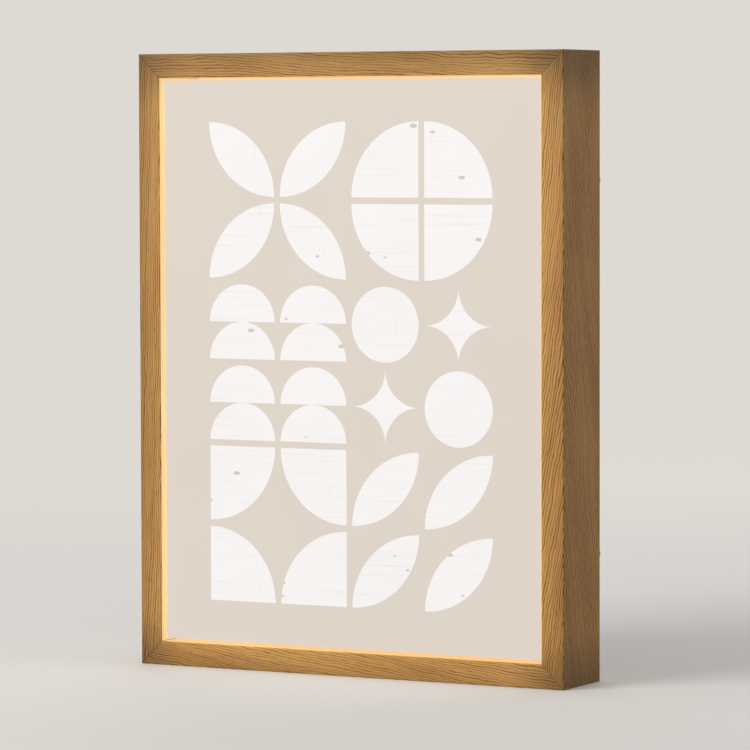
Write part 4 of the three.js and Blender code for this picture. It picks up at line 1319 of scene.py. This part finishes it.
class LIGHTBOX_OT_stage(Operator):
    """Makes the floor, the lamps, the world and the camera"""

    bl_idname = "lightbox.stage"
    bl_label = "Stage"

    floor_radius = 3.0
    floor_gap = 0.1 * MM  # below the box
    cloud = 700  # size in mm of the floor's darker patches
    cloud_share = 0.97  # of the floor's colour, in those patches
    fade = (0.28, 0.72)  # shares of the floor's radius between which it fades into the backdrop
    # Places from the middle of the oak's front face: of the lamps, with their sides, and the camera.
    lamps = {"key": (Vector((-1.35, -2.3, 1.45)), 1.8), "rim": (Vector((-0.7, 2.3, 1.4)), 2.6)}
    camera_place = Vector((1.487, -2.704, 0.166))
    yaw, pitch, roll = 28.434, 3.205, -0.15  # the camera's turns in degrees

    def execute(self, context):
        scene = context.scene
        stage = scene.light_box_stage
        self.floor(stage)
        self.world(scene, stage)
        target = Vector((OAK_MIDDLE.x, OAK_LOW.y, OAK_MIDDLE.z))
        for name, (offset, size) in self.lamps.items():
            light = bpy.data.lights.new(name, "AREA")
            light.size, light.energy = size, getattr(stage, name)
            facing = (-offset).to_track_quat("-Z", "Y")
            self.place(scene, bpy.data.objects.new(name, light), target + offset, facing)
        camera = bpy.data.objects.new("camera", bpy.data.cameras.new("camera"))
        camera.data.lens = stage.lens
        level = Euler((math.radians(90 - self.pitch), 0, math.radians(self.yaw))).to_quaternion()
        turn = level @ Quaternion(Z, math.radians(self.roll))
        self.place(scene, camera, target + self.camera_place, turn)
        scene.camera = camera
        scene.view_settings.view_transform = "Standard"
        return {"FINISHED"}

    def place(self, scene, made, place, turn):
        scene.collection.objects.link(made)
        made.location = place
        made.rotation_mode = "QUATERNION"
        made.rotation_quaternion = turn

    def floor(self, stage):
        """A pale floor that the box stands on. It fades out before its rim and from below."""
        pick()
        place = (0, OAK_MIDDLE.y, cad_low.z - self.floor_gap)
        circle = {"vertices": 96, "radius": self.floor_radius, "fill_type": "NGON"}
        bpy.ops.mesh.primitive_circle_add(**circle, location=place)
        floor = settle(bpy.context.object, "floor")
        # What looks at it directly sees it a little paler than the lamps make it.
        finish = {"Roughness": 0.9, "Specular_IOR_Level": 0.2, "Emission_Color": stage.floor}
        made, add, shader, place = start_material("matt_floor", **finish)
        seen = add("LightPath").outputs
        patch = [part * self.cloud_share for part in stage.floor]
        cloud = speckle(add, place, self.cloud)
        feed(
            shader,
            add("Mix", cloud, stage.floor, patch),
            Emission_Strength=add("Math.MULTIPLY", seen["Is Camera Ray"], stage.lift),
        )
        distance = add("VectorMath.LENGTH", place)
        share = add("Math.DIVIDE", distance, self.floor_radius / MM)
        fade = add("ValToRGB", share, stops=dict(zip(self.fade, (0.0, 1.0))))
        below = add("NewGeometry").outputs["Backfacing"]
        # The floor also lets the light through that the box gets from below, or its underside
        # and what is set into it would be black when it is looked at from below.
        clear = add("Math.MAXIMUM", fade, below)
        clear = add("Math.MAXIMUM", clear, seen["Is Diffuse Ray"])
        both = add("MixShader", clear, shader, add("BsdfTransparent"))
        feed(made.node_tree.nodes["Material Output"], both)
        paint(floor, made)

    def world(self, scene, stage):
        """Even light from all round, and a pale backdrop for what looks at it directly."""
        scene.world = bpy.data.worlds.new("studio")
        scene.world.use_nodes = True
        scene.world.node_tree.nodes.clear()
        add = functools.partial(add_node, scene.world.node_tree)
        path = add("LightPath").outputs
        seen = add("Math.ADD", path["Is Camera Ray"], path["Is Glossy Ray"])
        seen = add("Math.ADD", seen, path["Is Transmission Ray"])
        seen = add("Math.MINIMUM", seen, 1.0)
        sky = add("Background", 1.0, stage.sky)
        backdrop = add("Background", stage.backdrop, 1.0)
        add("OutputWorld", add("MixShader", seen, sky, backdrop))


OPERATORS = (
    LIGHTBOX_OT_stage,
    LIGHTBOX_OT_oak_frame,
    LIGHTBOX_OT_mitre_keys,
    LIGHTBOX_OT_printed_panel,
    LIGHTBOX_OT_white_motifs,
    LIGHTBOX_OT_inner_frame,
    LIGHTBOX_OT_light_strips,
    LIGHTBOX_OT_electrics,
    LIGHTBOX_OT_back_panel,
    LIGHTBOX_OT_turn_buttons,
    LIGHTBOX_OT_screws,
    LIGHTBOX_OT_rails,
    LIGHTBOX_OT_bumpers,
    LIGHTBOX_OT_switch,
    LIGHTBOX_OT_inlet,
)


class LIGHTBOX_PT_panel(Panel):
    """Lists the settings and the pieces in the sidebar"""

    bl_idname = "LIGHTBOX_PT_panel"
    bl_label = "Light Box"
    bl_space_type = "VIEW_3D"
    bl_region_type = "UI"
    bl_category = "Light Box"

    def draw(self, context):
        for name, group in SETTINGS.items():
            column = self.layout.column(align=True)
            for key in group.__annotations__:
                column.prop(getattr(context.scene, name), key)
        for operator in OPERATORS:
            self.layout.operator(operator.bl_idname)


CLASSES = (*SETTINGS.values(), *OPERATORS, LIGHTBOX_PT_panel)


def register():
    for cls in CLASSES:
        bpy.utils.register_class(cls)
    for name, group in SETTINGS.items():
        setattr(bpy.types.Scene, name, PointerProperty(type=group))


def unregister():
    for name in SETTINGS:
        delattr(bpy.types.Scene, name)
    for cls in reversed(CLASSES):
        bpy.utils.unregister_class(cls)


def main():
    """Makes the stage and every piece."""
    register()
    for operator in OPERATORS:
        getattr(bpy.ops.lightbox, operator.bl_idname.split(".")[1])()


if __name__ == "__main__":
    main()
